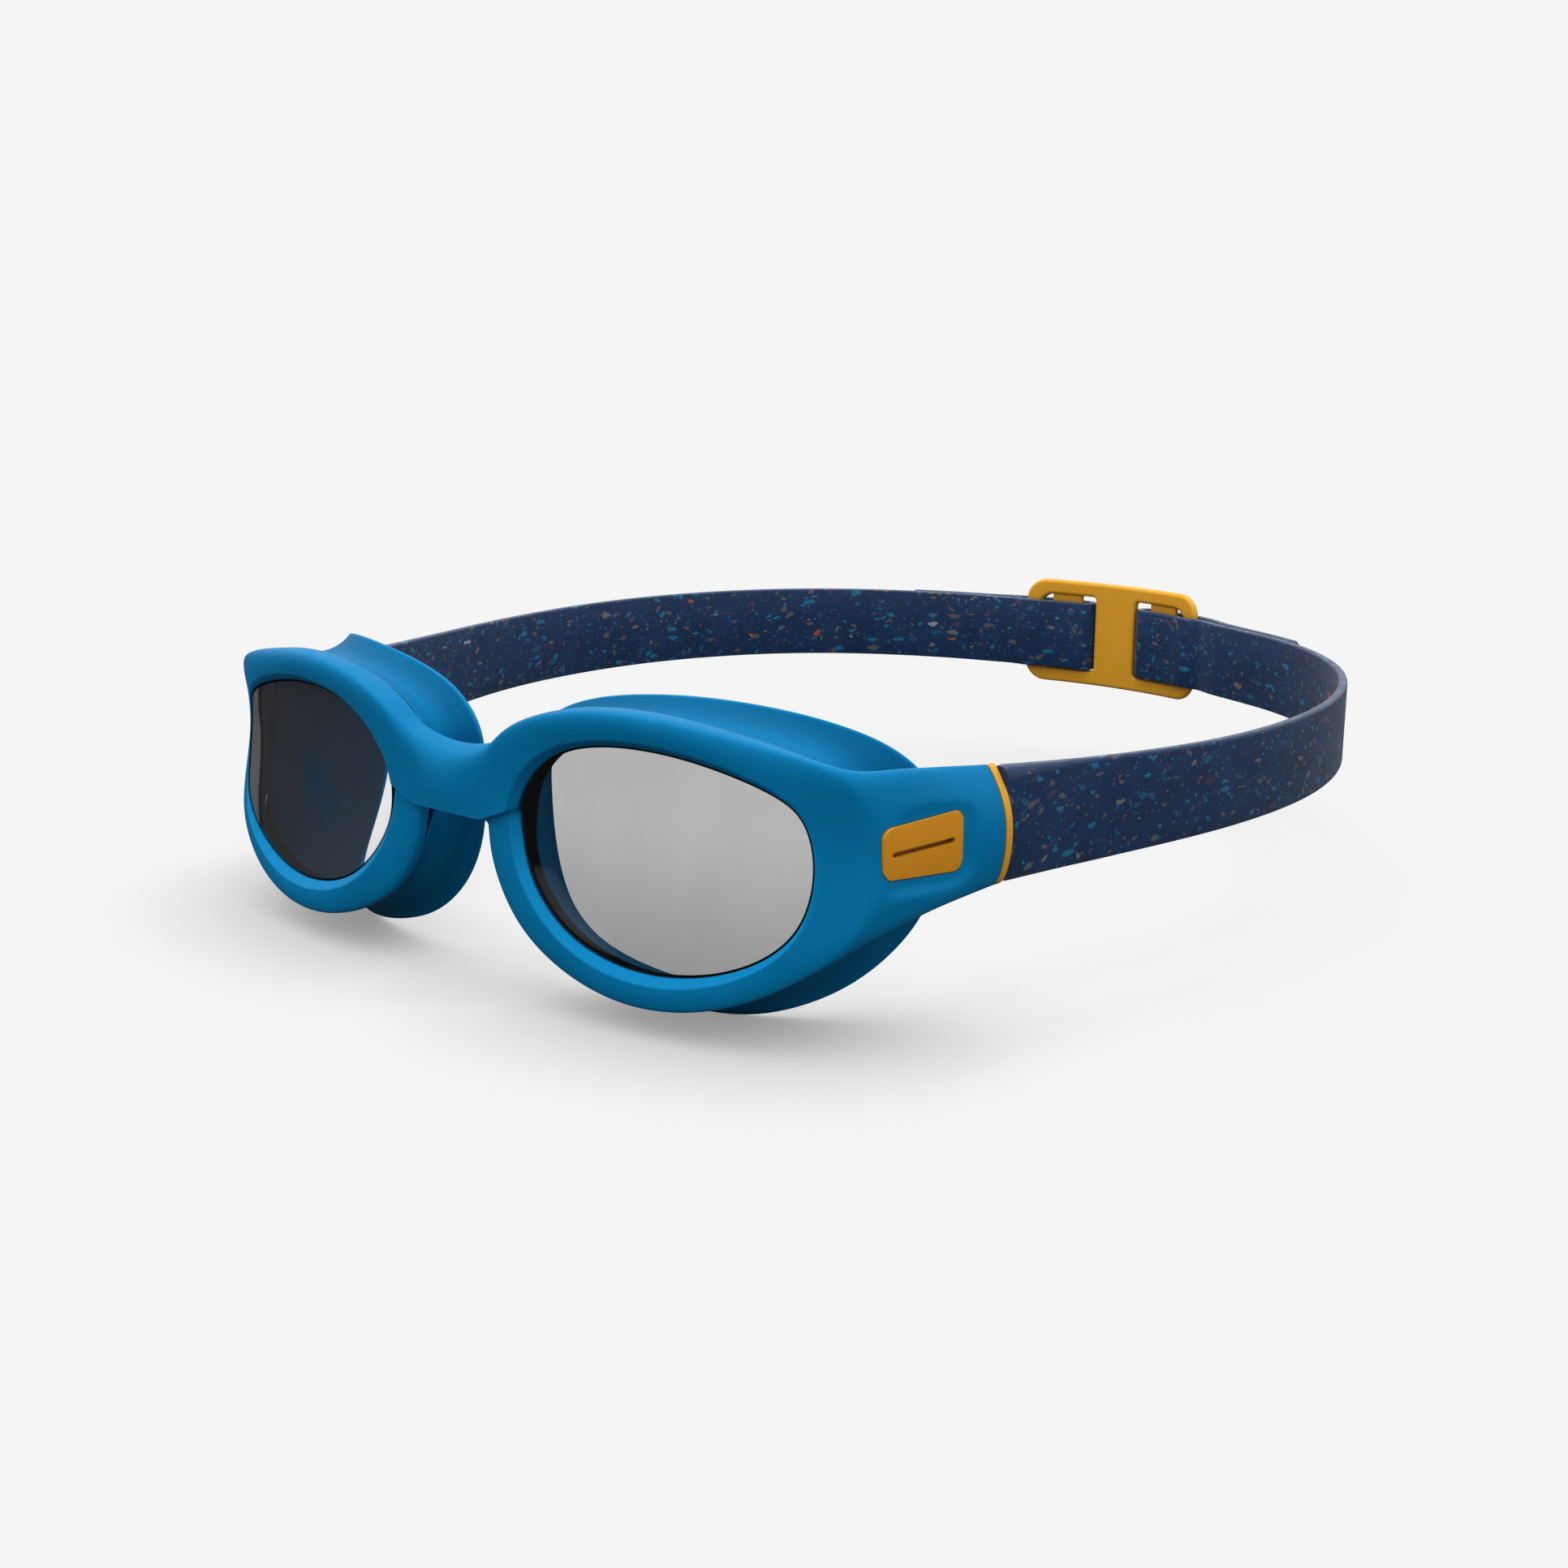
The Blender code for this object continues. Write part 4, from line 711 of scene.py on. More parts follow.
def smoke_lens(name, through):
    """Tinted polycarbonate: clear grey body, thin surface reflections, painted shade at grazing
    views and round its edge.
    """
    n = Nodes(bpy.data.materials.new(name))
    place = n.layout_position()
    x, _, z = n.xyz(place)
    back = n.geometry("Backfacing")
    smear = n.noise(n.vmath("MULTIPLY", place, (3.0, 1.0, 1.0)), scale=60.0, detail=3.0)
    tint = n.times(n.remap(z, LENS_DARKER_DOWN_Z, target=(0.83, 1.0)),
                   n.remap(smear, SPREAD, target=(0.985, 1.01)))
    body = n.scale(n.mix(1.0, through, grey(1), blend="MULTIPLY"), tint)
    # grazing views show the sheet's bevelled temple edge and clear nose edge
    wide = n.math("ABSOLUTE", x, 0.0)
    facing = n.add("ShaderNodeLayerWeight", {"Blend": 0.5}).outputs["Facing"]
    graze = n.remap(facing, (0.38, 0.47))
    front = n.times(graze, n.inverse(back))
    strip = n.times(n.remap(wide, TEMPLE_STRIP_X, target=(0.0, 0.85)), front)
    line = n.times(n.times(n.remap(wide, TEMPLE_LINE_X, target=(0.0, 0.60)),
                           n.remap(wide, TEMPLE_STRIP_X, target=(1.0, 0.0))), front)
    slope = n.math("ADD", wide, n.times(z, NOSE_EDGE_SLOPE))
    slope = n.math("SUBTRACT", slope, n.times(back, SHEET_SHIFT))
    nose_edge = n.times(n.remap(slope, NOSE_EDGE_X, target=(1.0, 0.0)), graze)
    # the clear body and its reflections
    clear = n.add("ShaderNodeBsdfTransparent",
                  {0: n.mix(nose_edge, body, grey(0.985))}).outputs[0]
    gloss = n.add("ShaderNodeBsdfGlossy", {
        "Color": (1, 1, 1, 1),
        "Roughness": n.remap(smear, (0.3, 0.75), target=(0.025, 0.07))}).outputs[0]
    ior = n.remap(back, (0.0, 1.0), target=(1.5, 1 / 1.5), smooth=False)
    fresnel = n.add("ShaderNodeFresnel", {"IOR": ior}).outputs[0]
    look = n.mix_shader(n.times(fresnel, n.inverse(back)), clear, gloss)
    # painted shade: at grazing views a dark grey veil stands in for the shaded inside seen
    # through the sheet, then the edge strip and the brown line
    veil = n.times(n.times(front, 0.66), n.inverse(nose_edge))
    look = n.mix_shader(veil, look, n.diffuse((0.062, 0.060, 0.060)))
    look = n.mix_shader(strip, look, n.diffuse((0.185, 0.185, 0.192)))
    look = n.mix_shader(line, look, n.diffuse((0.030, 0.022, 0.018)))
    # painted shade: the shadowed gap round the edge of the sheet is painted near black
    seat = n.times(n.remap(n.attribute("rim"), (0.40, 0.72)), n.inverse(back))
    look = n.mix_shader(seat, look, n.diffuse((0.013, 0.018, 0.026)))
    n.output(look)
    return n.owner


BLUE = moulded_rubber("frame_blue_tpe", (0.0022, 0.230, 0.515),
                      roughness=0.40, specular=0.045, glint=0.14)
GASKET = moulded_rubber("gasket_blue_tpe", (0.0018, 0.162, 0.365),
                        roughness=0.46, specular=0.03, glint=0.85)
AMBER = amber_plastic("amber_plastic", (1.0, 0.47, 0.032),
                      roughness=0.34, reach=0.0055, darkest=0.42)
BADGE_AMBER = amber_plastic("amber_badge", (0.88, 0.360, 0.020),
                            roughness=0.36, reach=0.0012, darkest=0.26)
NAVY = chipped_silicone("strap_navy_silicone", (0.0085, 0.038, 0.118), roughness=0.38)
SMOKE = smoke_lens("lens_smoke", through=(0.726, 0.724, 0.724))


# --------------------------------------------------------------- rim section
def rim_y(x, z):
    d = x - RIM_MID_X
    return (RIM_MID_Y + RIM_SLOPE * d + RIM_WRAP * d * d
            + RIM_SADDLE * (z - RIM_MID_Z) ** 2)


def lean(x, z, amount):
    """Share of the lower half's lean, place from nose (0) to temple (1), lean there."""
    t = clamp((LEAN_Z[0] - z) / (LEAN_Z[0] - LEAN_Z[1]))
    s = clamp((x - 16.0) / 46.0)
    return eased(t), s, amount[0] + (amount[1] - amount[0]) * s


# Section points, place at (distance outwards, depth), width, depth of the rear side
# at a distance, lip thickness, depth of the opening's front edge.
Section = namedtuple("Section", "rows at width back lip edge")


def section(station):
    in_x, in_z, out_x, out_z, setback, round_over, wall, step = station
    t_in, s_in, lean_in = lean(in_x, in_z, LEAN_IN)
    t_out, s_out, lean_out = lean(out_x, out_z, LEAN_OUT)
    near_temple = clamp((in_x - 60.0) / 7.0) ** 2
    inner = np.array([in_x + t_in * (-0.8 + 2.0 * s_in) - TEMPLE_IN * near_temple, in_z])
    outer = np.array([out_x + t_out * 1.2 * s_out, out_z])
    width = float(np.linalg.norm(outer - inner))
    flush = clamp(setback / 4.0)
    outwards = (outer - inner) / width

    def at(u, depth):
        p = inner + outwards * u
        k = clamp(u / width)
        forward = t_in * lean_in * (1 - k) + t_out * lean_out * k
        y = (rim_y(p[0], p[1]) + depth + setback * k ** (1.1 - 0.4 * flush) - forward
             + TEMPLE_BACK * near_temple * (1 - k))
        return (float(p[0]), float(y), float(p[1]))

    pocket = min(max(wall, POCKET_D), 5.0)
    wall_u = width - min(0.15 + 0.85 * setback, 3.6)
    mid_u = 0.5 * (wall_u + POCKET_U)
    mid_depth = 0.5 * (wall + pocket)
    chamfer = CHAMFER - (CHAMFER - CHAMFER_TEMPLE) * flush
    lip = LIP_THICK - (LIP_THICK - LIP_TEMPLE) * flush
    rows = [(0.0, chamfer + step), (chamfer, step), (max(0.5 * width, 2.2), step - 0.1),
            (width - min(1.0, 0.2 * width), step + 0.35 * round_over),
            (width, step + round_over), (wall_u, wall), (mid_u, mid_depth),
            (POCKET_U, pocket), (POCKET_U, lip), (0.0, lip)]

    def back(u):
        return float(np.interp(u, [POCKET_U, mid_u, wall_u], [pocket, mid_depth, wall]))

    return Section([at(u, depth) for u, depth in rows], at, width, back, lip, chamfer + step)


SECTIONS = [section(station) for station in STATIONS]
SEATS = SECTIONS[:-1]       # the last station only closes the frame's rim


# -------------------------------------------------------------------- frame
def add_rim(verts, faces, creases):
    """The rim, left open where the bridge and the arm join its outer wall."""
    count = len(SECTIONS)
    for part in SECTIONS:
        verts += part.rows
    joined = [*range(*BRIDGE_COLS), *range(*ARM_COLS)]
    faces += [quad for k, quad in enumerate(bands(count, ROWS, closed=True))
              if not (k % ROWS == WALL_ROWS[0] and k // ROWS in joined)]
    for i in range(count):
        j = (i + 1) % count
        for r, crease in ((0, 0.95), (1, 0.9), (5, 0.5), (7, 0.9), (8, 1.0), (9, 0.9)):
            creases.append((i * ROWS + r, j * ROWS + r, crease))
    last = (count - 1) * ROWS
    for r in range(4):
        creases += [(r, r + 1, 1.0), (last + r, last + r + 1, 0.9)]


def add_bridge(verts, faces, creases):
    """Nose bridge from the outer wall to the symmetry plane."""
    columns = range(BRIDGE_COLS[0], BRIDGE_COLS[1] + 1)
    last_front, last_rear = ([i * ROWS + row for i in columns] for row in WALL_ROWS)
    # way to the symmetry plane, share of the middle section's shape
    for inwards, shaped in ((0.5, 0.72), (1.0, 1.0)):
        front, rear = [], []
        for i, (front_y, front_z, rear_y, rear_z) in zip(columns, BRIDGE_MID):
            for row, y, z, out in ((WALL_ROWS[0], front_y, front_z, front),
                                   (WALL_ROWS[1], rear_y, rear_z, rear)):
                p = verts[i * ROWS + row]
                out.append(len(verts))
                verts.append((p[0] * (1 - inwards), p[1] * (1 - shaped) + y * shaped,
                              p[2] * (1 - shaped) + z * shaped))
        for k in range(len(columns) - 1):
            faces.append((last_front[k], last_front[k + 1], front[k + 1], front[k]))
            faces.append((last_rear[k + 1], last_rear[k], rear[k], rear[k + 1]))
        faces.append((last_front[-1], last_rear[-1], rear[-1], front[-1]))
        faces.append((last_rear[0], last_front[0], front[0], rear[0]))
        creases.append((last_front[0], front[0], 1.0))
        creases.append((last_rear[-1], rear[-1], 0.4))
        last_front, last_rear = front, rear


def add_arm(verts, faces, creases):
    """Side arm: D-shaped sections from the temple wall to the collar."""
    outer, inner = ([i * ROWS + row for i in range(ARM_COLS[0], ARM_COLS[1] + 1)]
                    for row in WALL_ROWS)
    for station in ARM_STATIONS:
        start = len(verts)
        for pair in zip(*arm_profile(station)):
            verts += [arm_point(station[0], depth, z) for depth, z in pair]
        new_outer = list(range(start, len(verts), 2))
        new_inner = list(range(start + 1, len(verts), 2))
        for m in range(ARM_COUNT - 1):
            faces.append((outer[m], outer[m + 1], new_outer[m + 1], new_outer[m]))
            faces.append((inner[m + 1], inner[m], new_inner[m], new_inner[m + 1]))
        faces.append((inner[0], outer[0], new_outer[0], new_inner[0]))
        faces.append((outer[-1], inner[-1], new_inner[-1], new_outer[-1]))
        outer, inner = new_outer, new_inner
    ring = outer + inner[::-1]
    for m in range(len(ring)):
        creases.append((ring[m], ring[(m + 1) % len(ring)], 1.0))
    for m in range(ARM_COUNT - 1):
        faces.append((outer[m], inner[m], inner[m + 1], outer[m + 1]))


def press_dishes(mesh):
    """Soft shallow dish in each arm round its badge."""
    co = np.zeros(len(mesh.vertices) * 3)
    mesh.vertices.foreach_get("co", co)
    co = co.reshape(-1, 3) / MM
    arm = np.array([to_arm(p) for p in co])
    near = (arm[:, 1] < 2.6) & (arm[:, 0] > 6) & (arm[:, 0] < 41.5) & (np.abs(arm[:, 2]) < 10)
    distance = outline_distance(arm[near][:, [0, 2]], rounded(BADGE, BADGE_RADIUS, 6))
    # full depth up to 1.1 mm outside the badge, fading over 2 mm
    weight = eased(1 - np.clip((distance - 1.1) / 2.0, 0, 1))
    push = weight * np.maximum(0, DISH - arm[near][:, 1])
    co[near, 0] -= np.sign(co[near][:, 0]) * push * math.cos(ARM_TILT)
    co[near, 1] += push * math.sin(ARM_TILT)
    mesh.vertices.foreach_set("co", (co * MM).ravel())
    mesh.update()


def build_frame():
    verts, faces, creases = [], [], []
    for add in (add_rim, add_bridge, add_arm):
        add(verts, faces, creases)
    ob = solid("frame_moulding", verts, faces, BLUE, front_face=1, creases=creases)
    # the opening's chamfer gets a painted highlight where it faces up
    mark(ob, "band", [0.97 if i < len(SECTIONS) * ROWS and i % ROWS in (0, 1) else 0.0
                      for i in range(len(verts))])
    m = ob.modifiers.new("symmetry", "MIRROR")
    m.use_axis = (True, False, False)
    m.use_mirror_merge = True
    m.merge_threshold = 0.0001
    subdivide(ob)
    press_dishes(ob.data)
    slot = rounded(box(*SLOT_Y, -SLOT_HEIGHT / 2, SLOT_HEIGHT / 2), 1.5, 3)
    corners = np.array(BADGE)
    corners += np.sign(corners - corners.mean(0)) * BADGE_GAP
    window = rounded(corners, BADGE_RADIUS + BADGE_GAP, 8)
    for side in (1, -1):
        for outline, depth0, depth1 in (
                (window, -2.0, SLOT_DEPTH),
                (slot, SLOT_DEPTH - SLOT_THICK / 2, SLOT_DEPTH + SLOT_THICK / 2)):
            boolean(ob, solid("tool", *prism(outline, depth0, depth1), side=side,
                              smooth=False))
    only_material(ob, BLUE)
    settle(ob, sharp_angle=48)
    register(ob, "frame")


# --------------------------------------------------------- lenses and gaskets
def lens_mesh():
    """Lens with a flange under the lip and a raised window filling the opening.

    Also gives the vertices' "rim" values: 1 on the flange and the window's side.
    """
    n = len(SEATS)
    front = [[], [], [], []]
    rear = [[], []]
    for part in SEATS:
        base = part.lip + LENS_GAP
        front[0].append(part.at(LENS_U, base))
        front[1].append(part.at(WINDOW_U, base))
        front[2].append(part.at(WINDOW_U, min(part.edge + 0.24, base - 0.1)))
        front[3].append(part.at(WINDOW_FRONT_U, min(part.edge + 0.14, base - 0.14)))
        rear[0].append(part.at(LENS_U, base + LENS_THICK))
        rear[1].append(part.at(0.2, base + LENS_THICK))
    verts, faces, rim = [], [], []
    # rings, their rim values, the ring round the centre, how far the centre is forward
    for rings, marks, round_centre, forward in (
            (front, [1.0, 1.0, 1.0, 0.0], front[3], 0.5), (rear, [1.0, 1.0], rear[0], 0.7)):
        start = len(verts)
        centre = np.mean(round_centre, 0) + np.array([0, -forward, 0])
        edge = np.array(rings[-1])
        for s in DISH_SCALES:
            ring = centre + (edge - centre) * s
            ring[:, 1] = centre[1] + (edge[:, 1] - centre[1]) * s * s
            rings.append(ring)
            marks.append(0.0)
        for ring, value in zip(rings, marks):
            verts += [tuple(p) for p in ring]
            rim += [value] * n
        faces += bands(len(rings), n, start, flip=rings is rear)
        last = len(verts) - n
        for i in range(n):
            a, b = last + i, last + (i + 1) % n
            faces.append((b, a, len(verts)) if rings is rear else (a, b, len(verts)))
        verts.append(tuple(centre))
        rim.append(0.0)
    creases = []
    for i in range(n):
        j = (i + 1) % n
        faces.append((j, i, start + i, start + j))
        creases += [(i, j, 1.0), (start + i, start + j, 1.0), (n + i, n + j, 0.9),
                    (2 * n + i, 2 * n + j, 0.8)]
    return verts, faces, creases, rim


def build_lens(tag, side):
    verts, faces, creases, rim = lens_mesh()
    ob = solid(f"lens_{tag}_moulding", verts, faces, SMOKE, side, creases=creases)
    # rim values place the painted shade of the gap round the sheet's edge
    mark(ob, "rim", rim)
    subdivide(ob)
    settle(ob, sharp_angle=40)
    register(ob, f"lens_{tag}")


def gasket_points():
    """Ten points of the gasket's section at each station."""
    edge = spline(SEAL_EDGE, 400, closed=True)
    angles = np.arctan2(edge[:, 2] - EYE_Z, edge[:, 0] - EYE_X)
    order = np.argsort(angles)
    angles, edge = angles[order], edge[order]
    verts = []
    for (_, _, out_x, out_z, setback, *_), part in zip(STATIONS, SEATS):
        temple = clamp((setback - 0.9) / 2.0)
        foot_u = (part.width - 0.6) * (1 - temple) + 3.1 * temple
        foot = np.array(part.at(foot_u, part.back(foot_u) + FIT_GAP + 0.15 * temple))
        angle = math.atan2(out_z - EYE_Z, out_x - EYE_X)
        seal = np.array([np.interp(angle, angles, edge[:, j], period=2 * math.pi)
                         for j in range(3)])
        inward = np.array([EYE_X - seal[0], 0.0, EYE_Z - seal[2]])
        inward /= np.linalg.norm(inward)
        waist = foot + (seal - foot) * 0.38 + inward * (2.3 + 1.4 * temple)
        width = SEAL_WIDTH - SEAL_NARROW * clamp((seal[0] - 48.0) / 14.0)
        seat = max(part.lip + LENS_GAP + LENS_THICK + FIT_GAP,
                   part.back(POCKET_U) + FIT_GAP)
        for point in (foot, waist,
                      foot + (seal - foot) * 0.80 + inward * 1.7,
                      seal,
                      seal + np.array([0, 0.75, 0]) + inward * 0.35,
                      seal + inward * width + np.array([0, 0.2, 0]),
                      seal + inward * (width - 0.6) + np.array([0, -1.1, 0]),
                      waist + inward * GASKET_WALL + np.array([0, -0.3, 0]),
                      part.at(0.5, seat + 0.15),
                      part.at(2.6, max(seat, part.back(2.6) + FIT_GAP) + 0.05)):
            verts.append(tuple(float(q) for q in point))
    return verts


def build_gasket(tag, side):
    verts = gasket_points()
    n = len(SEATS)
    creases = [(i * ROWS + r, (i + 1) % n * ROWS + r, crease) for i in range(n)
               for r, crease in ((0, 0.6), (3, 0.85), (4, 0.7), (5, 0.5), (8, 0.5))]
    ob = solid(f"gasket_{tag}_moulding", verts, bands(n, ROWS, closed=True), GASKET, side,
               creases=creases)
    # points 3 and 4 bound the sealing rim, which gets a painted highlight where it faces up
    mark(ob, "band", [1.0 if i % ROWS in (3, 4) else 0.0 for i in range(len(verts))])
    # flare values place the painted shading along the gasket's flare
    flare = {1: 0.35, 2: 0.74, 3: 1.0, 4: 1.0}
    mark(ob, "flare", [flare.get(i % ROWS, 0.0) for i in range(len(verts))])
    subdivide(ob)
    settle(ob, sharp_angle=50)
    register(ob, f"gasket_{tag}")


# --------------------------------------------------- connectors and collars
def build_connector(tag, side):
    """Plate in the arm's slot with the badge standing on it."""
    plate = rounded(box(*CONNECTOR_Y, -CONNECTOR_HALF_H, CONNECTOR_HALF_H), 2.0, 8)
    half = CONNECTOR_THICK / 2
    ob = solid(f"connector_{tag}_moulding", *prism(plate, SLOT_DEPTH - half, SLOT_DEPTH + half),
               BADGE_AMBER, side, smooth=False)
    boss = solid("boss", *prism(rounded(BADGE, BADGE_RADIUS, 12), BADGE_TOP, SLOT_DEPTH),
                 BADGE_AMBER, side, smooth=False)
    m = boss.modifiers.new("edge", "BEVEL")
    m.width = 0.16 * MM
    m.segments = 3
    m.limit_method = "ANGLE"
    m.angle_limit = math.radians(60)
    apply_modifiers(boss)
    half = SLIT_WIDTH / 2
    slit = rounded(box(*SLIT_Y, SLIT_Z - half, SLIT_Z + half), half * 0.95, 6)
    boolean(boss, solid("tool", *prism(slit, -1.0, BADGE_TOP + 1.3), side=side, smooth=False))
    boolean(ob, boss, "UNION")
    only_material(ob, BADGE_AMBER)
    settle(ob, sharp_angle=30)
    register(ob, f"strap_connector_{tag}")


def arm_end_outline():
    """Outline of the arm's end as (depth, z) points, subdivided like the arm."""
    outer, inner = arm_profile(ARM_STATIONS[-1])
    points = np.array(outer + inner[::-1])
    for _ in range(3):
        before, after = np.roll(points, 1, 0), np.roll(points, -1, 0)
        corner = (before + 6 * points + after) / 8
        edge = (points + after) / 2
        points = np.stack([corner, edge], 1).reshape(-1, 2)
    return points


def by_angle(points, stretch):
    """Points sorted by angle round their middle, with the depth axis stretched."""
    c = np.mean(points, 0)
    return np.array(sorted(points,
                           key=lambda q: math.atan2(q[1] - c[1], (q[0] - c[0]) * stretch)))


def build_collar(tag, side):
    """Rounded ring on the arm's end with a hole for the strap's tongue."""
    base = by_angle(arm_end_outline(), stretch=4)
    n = len(base)
    half_t, half_h = STRAP_THICK / 2 + 0.3, TONGUE_HALF_H + 0.3
    hole = by_angle(rounded(box(SLOT_DEPTH - half_t, SLOT_DEPTH + half_t, -half_h, half_h),
                            0.4, n // 4 - 1), stretch=1)
    tangent = np.roll(base, -1, 0) - np.roll(base, 1, 0)
    outward = np.stack([tangent[:, 1], -tangent[:, 0]], 1)
    outward /= np.linalg.norm(outward, axis=1)[:, None]
    if ((base - base.mean(0)) * outward).sum() < 0:
        outward = -outward
    y0, y1 = COLLAR_Y
    rings = []
    for k in range(9):
        a = math.pi * k / 8
        grow = -0.28 + 0.26 * math.sin(a) ** 0.5 if 0 < k < 8 else -0.28
        y = (y0 + y1) / 2 - (y1 - y0) / 2 * math.copysign(abs(math.cos(a)) ** 0.7, math.cos(a))
        rings.append([arm_point(y, depth, z) for depth, z in base + outward * grow])
    for y in (y1, y0):
        rings.append([arm_point(y, depth, z) for depth, z in hole])
    ob = solid(f"collar_{tag}_moulding", [p for ring in rings for p in ring],
               bands(len(rings), n, closed=True), AMBER, side)
    settle(ob, sharp_angle=40)
    register(ob, f"strap_collar_{tag}")


# ------------------------------------------------------------------- straps
def plate_y(x):
    """Front face of the curved buckle at a distance x from its middle."""
    return BUCKLE_Y - (BUCKLE_RADIUS - math.sqrt(BUCKLE_RADIUS ** 2 - x * x))


def strap_path(side):
    """Centre line of one strap from the collar to the end of its tail.

    Rows of (x, y, half height, thickness).  The strap runs round the side, in
    front of the buckle's end and bar, back through the slot beside the pillar
    and outwards again behind the bar.
    """
    def plain(x, y):
        out.append((x, y, STRAP_HALF_H, STRAP_THICK))

    out = []
    middle_x = BUCKLE_X * side
    points = spline(LOOP + [(middle_x + 24.5, STRAP_BACK_Y - 0.2)], 38)
    arm_y = LOOP[0][1]
    for p, outward in zip(points, along(points)[1]):
        thick_share = max(0.0, (THICK_TO - p[1]) / (THICK_TO - arm_y)) ** 1.5
        thick = STRAP_THICK + (STRAP_THICK_ARM - STRAP_THICK) * thick_share
        wide_share = max(0.0, (WIDE_TO - p[1]) / (WIDE_TO - arm_y)) ** 2.2
        half_h = STRAP_HALF_H + (STRAP_HALF_H_ARM - STRAP_HALF_H) * wide_share
        c = p - outward * thick / 2
        out.append((c[0], c[1], half_h, thick))
    out[0] = (out[0][0], COLLAR_Y[1] + 0.75) + out[0][2:]
    body = np.array([row[:2] for row in out])
    for x, y in OVER_BAR:
        plain(middle_x + x, STRAP_BACK_Y + y)
    # round the bar's inner edge
    centre_x = BAR_X[0] - 0.9
    centre_y = plate_y(BAR_X[0]) + BAR_DEPTH[0] + BAR_THICK / 2
    radius = BAR_THICK / 2 + 0.27 + STRAP_THICK / 2
    for k in range(9):
        a = math.pi * k / 8
        plain(middle_x + centre_x - radius * math.sin(a), centre_y - radius * math.cos(a))
    for x in BEHIND_BAR:
        plain(middle_x + x, plate_y(x) + BUCKLE_THICK + 0.4 + STRAP_THICK / 2)
    # tail along the strap's outer side, closing in on it
    last, total = np.array(out[-1][:2]), 0.0
    for p, outward in list(zip(body, along(body)[1]))[::-1]:
        if p[0] < middle_x + 26.5:
            continue
        gap = STRAP_THICK + 0.33 + 2.3 * math.exp(-(p[0] - middle_x - 22.0) / 5.0)
        point = p + outward * gap
        step = float(np.linalg.norm(point - last))
        if total + step > TAIL_RUN:
            break
        total += step
        last = point
        plain(point[0], point[1])
    d = np.array([out[-1][0] - out[-2][0], out[-1][1] - out[-2][1]])
    d /= np.linalg.norm(d)
    for onwards, half_h in TAIL_TIP:
        out.append((last[0] + d[0] * onwards, last[1] + d[1] * onwards, half_h, STRAP_THICK))
    return np.array(out)


def strap_rows(side):
    """Fine rows (x, y, half height, thickness) of a strap, tongue first."""
    start = np.array(arm_point(TONGUE_Y, SLOT_DEPTH, 0)[:2])
    end = np.array(arm_point(COLLAR_Y[1] + 0.45, SLOT_DEPTH, 0)[:2])
    rows = []
    for k in range(TONGUE_ROWS):
        p = start + (end - start) * (k / (TONGUE_ROWS - 1))
        rows.append((p[0], min(p[1], COLLAR_Y[1] + 0.22), TONGUE_HALF_H, STRAP_THICK))
    keys = strap_path(side)
    fit = fit_cubic(keys[:, :2])
    t = fit[1]
    # steps: about 1 mm along the path, finer where the strap turns tightly
    tangents, _ = along(keys[:, :2])
    u = [0.0]
    for i in range(1, len(keys)):
        turn = math.acos(max(-1, min(1, float((tangents[i] * tangents[i - 1]).sum()))))
        n = max(1, int(math.ceil(max((t[i] - t[i - 1]) / 1.15, turn / 0.10))))
        u += [t[i - 1] + (t[i] - t[i - 1]) * k / n for k in range(1, n + 1)]
    u = np.array(u)
    rows += [(p[0], p[1], half_h, thick)
             for p, half_h, thick in zip(cubic_at(fit, u), np.interp(u, t, keys[:, 2]),
                                         np.interp(u, t, keys[:, 3]))]
    return rows


def strap_profile(half_t, half_h, inner, outer):
    """Cross-section (outward, up), going round from the outer top.

    Inner and outer are the corner radii of those sides; the outer corners are
    half as high again.
    """
    out = []
    tall = 1.5 * outer
    for cx, cz, rx, rz, start in (
            (half_t - outer, half_h - tall, outer, tall, 0),
            (-half_t + inner, half_h - inner, inner, inner, 90),
            (-half_t + inner, -half_h + inner, inner, inner, 180),
            (half_t - outer, -half_h + tall, outer, tall, 270)):
        for k in range(5):
            a = math.radians(start + 90 * k / 4)
            out.append((cx + rx * math.cos(a), cz + rz * math.sin(a)))
    return out


def strap_sections(side):
    """Per row: its profile's points and their UVs, and the row's full girth (cm)."""
    rows = strap_rows(side)
    xy = np.array([row[:2] for row in rows])
    _, outward = along(xy)
    run = np.concatenate([[0], np.cumsum(np.linalg.norm(np.diff(xy, axis=0), axis=1))])
    sections = []
    for i, (x, y, half_h, thick) in enumerate(rows):
        half_t = thick / 2
        lead = run[i] - run[TONGUE_ROWS]
        if i >= TONGUE_ROWS and lead < 0.45:
            # rounded shoulder where the moulded end starts
            e = max(0.0, 1 - lead / 0.45)
            half_t -= 0.14 * e * e
            half_h -= 0.16 * e * e
        profile = strap_profile(half_t, half_h, inner=0.42,
                                outer=0.42 + 0.62 * (thick - STRAP_THICK))
        z0 = STRAP_RISE * eased(clamp((y - 60.0) / 120.0))
        points, uvs, around = [], [], 0.0
        for k, (a, z) in enumerate(profile):
            if k:
                around += math.dist(profile[k - 1], (a, z))
            points.append((x + outward[i][0] * a, y + outward[i][1] * a, z + z0))
            # the right strap takes its chips from another part of the pattern
            uvs.append((run[i] * 0.1 + (0 if side > 0 else 40.0), around * 0.1))
        girth = (around + math.dist(profile[0], profile[-1])) * 0.1
        sections.append((points, uvs, girth))
    split = next(i for i in range(12, len(rows)) if rows[i][1] > SPLIT_Y)
    return sections, split


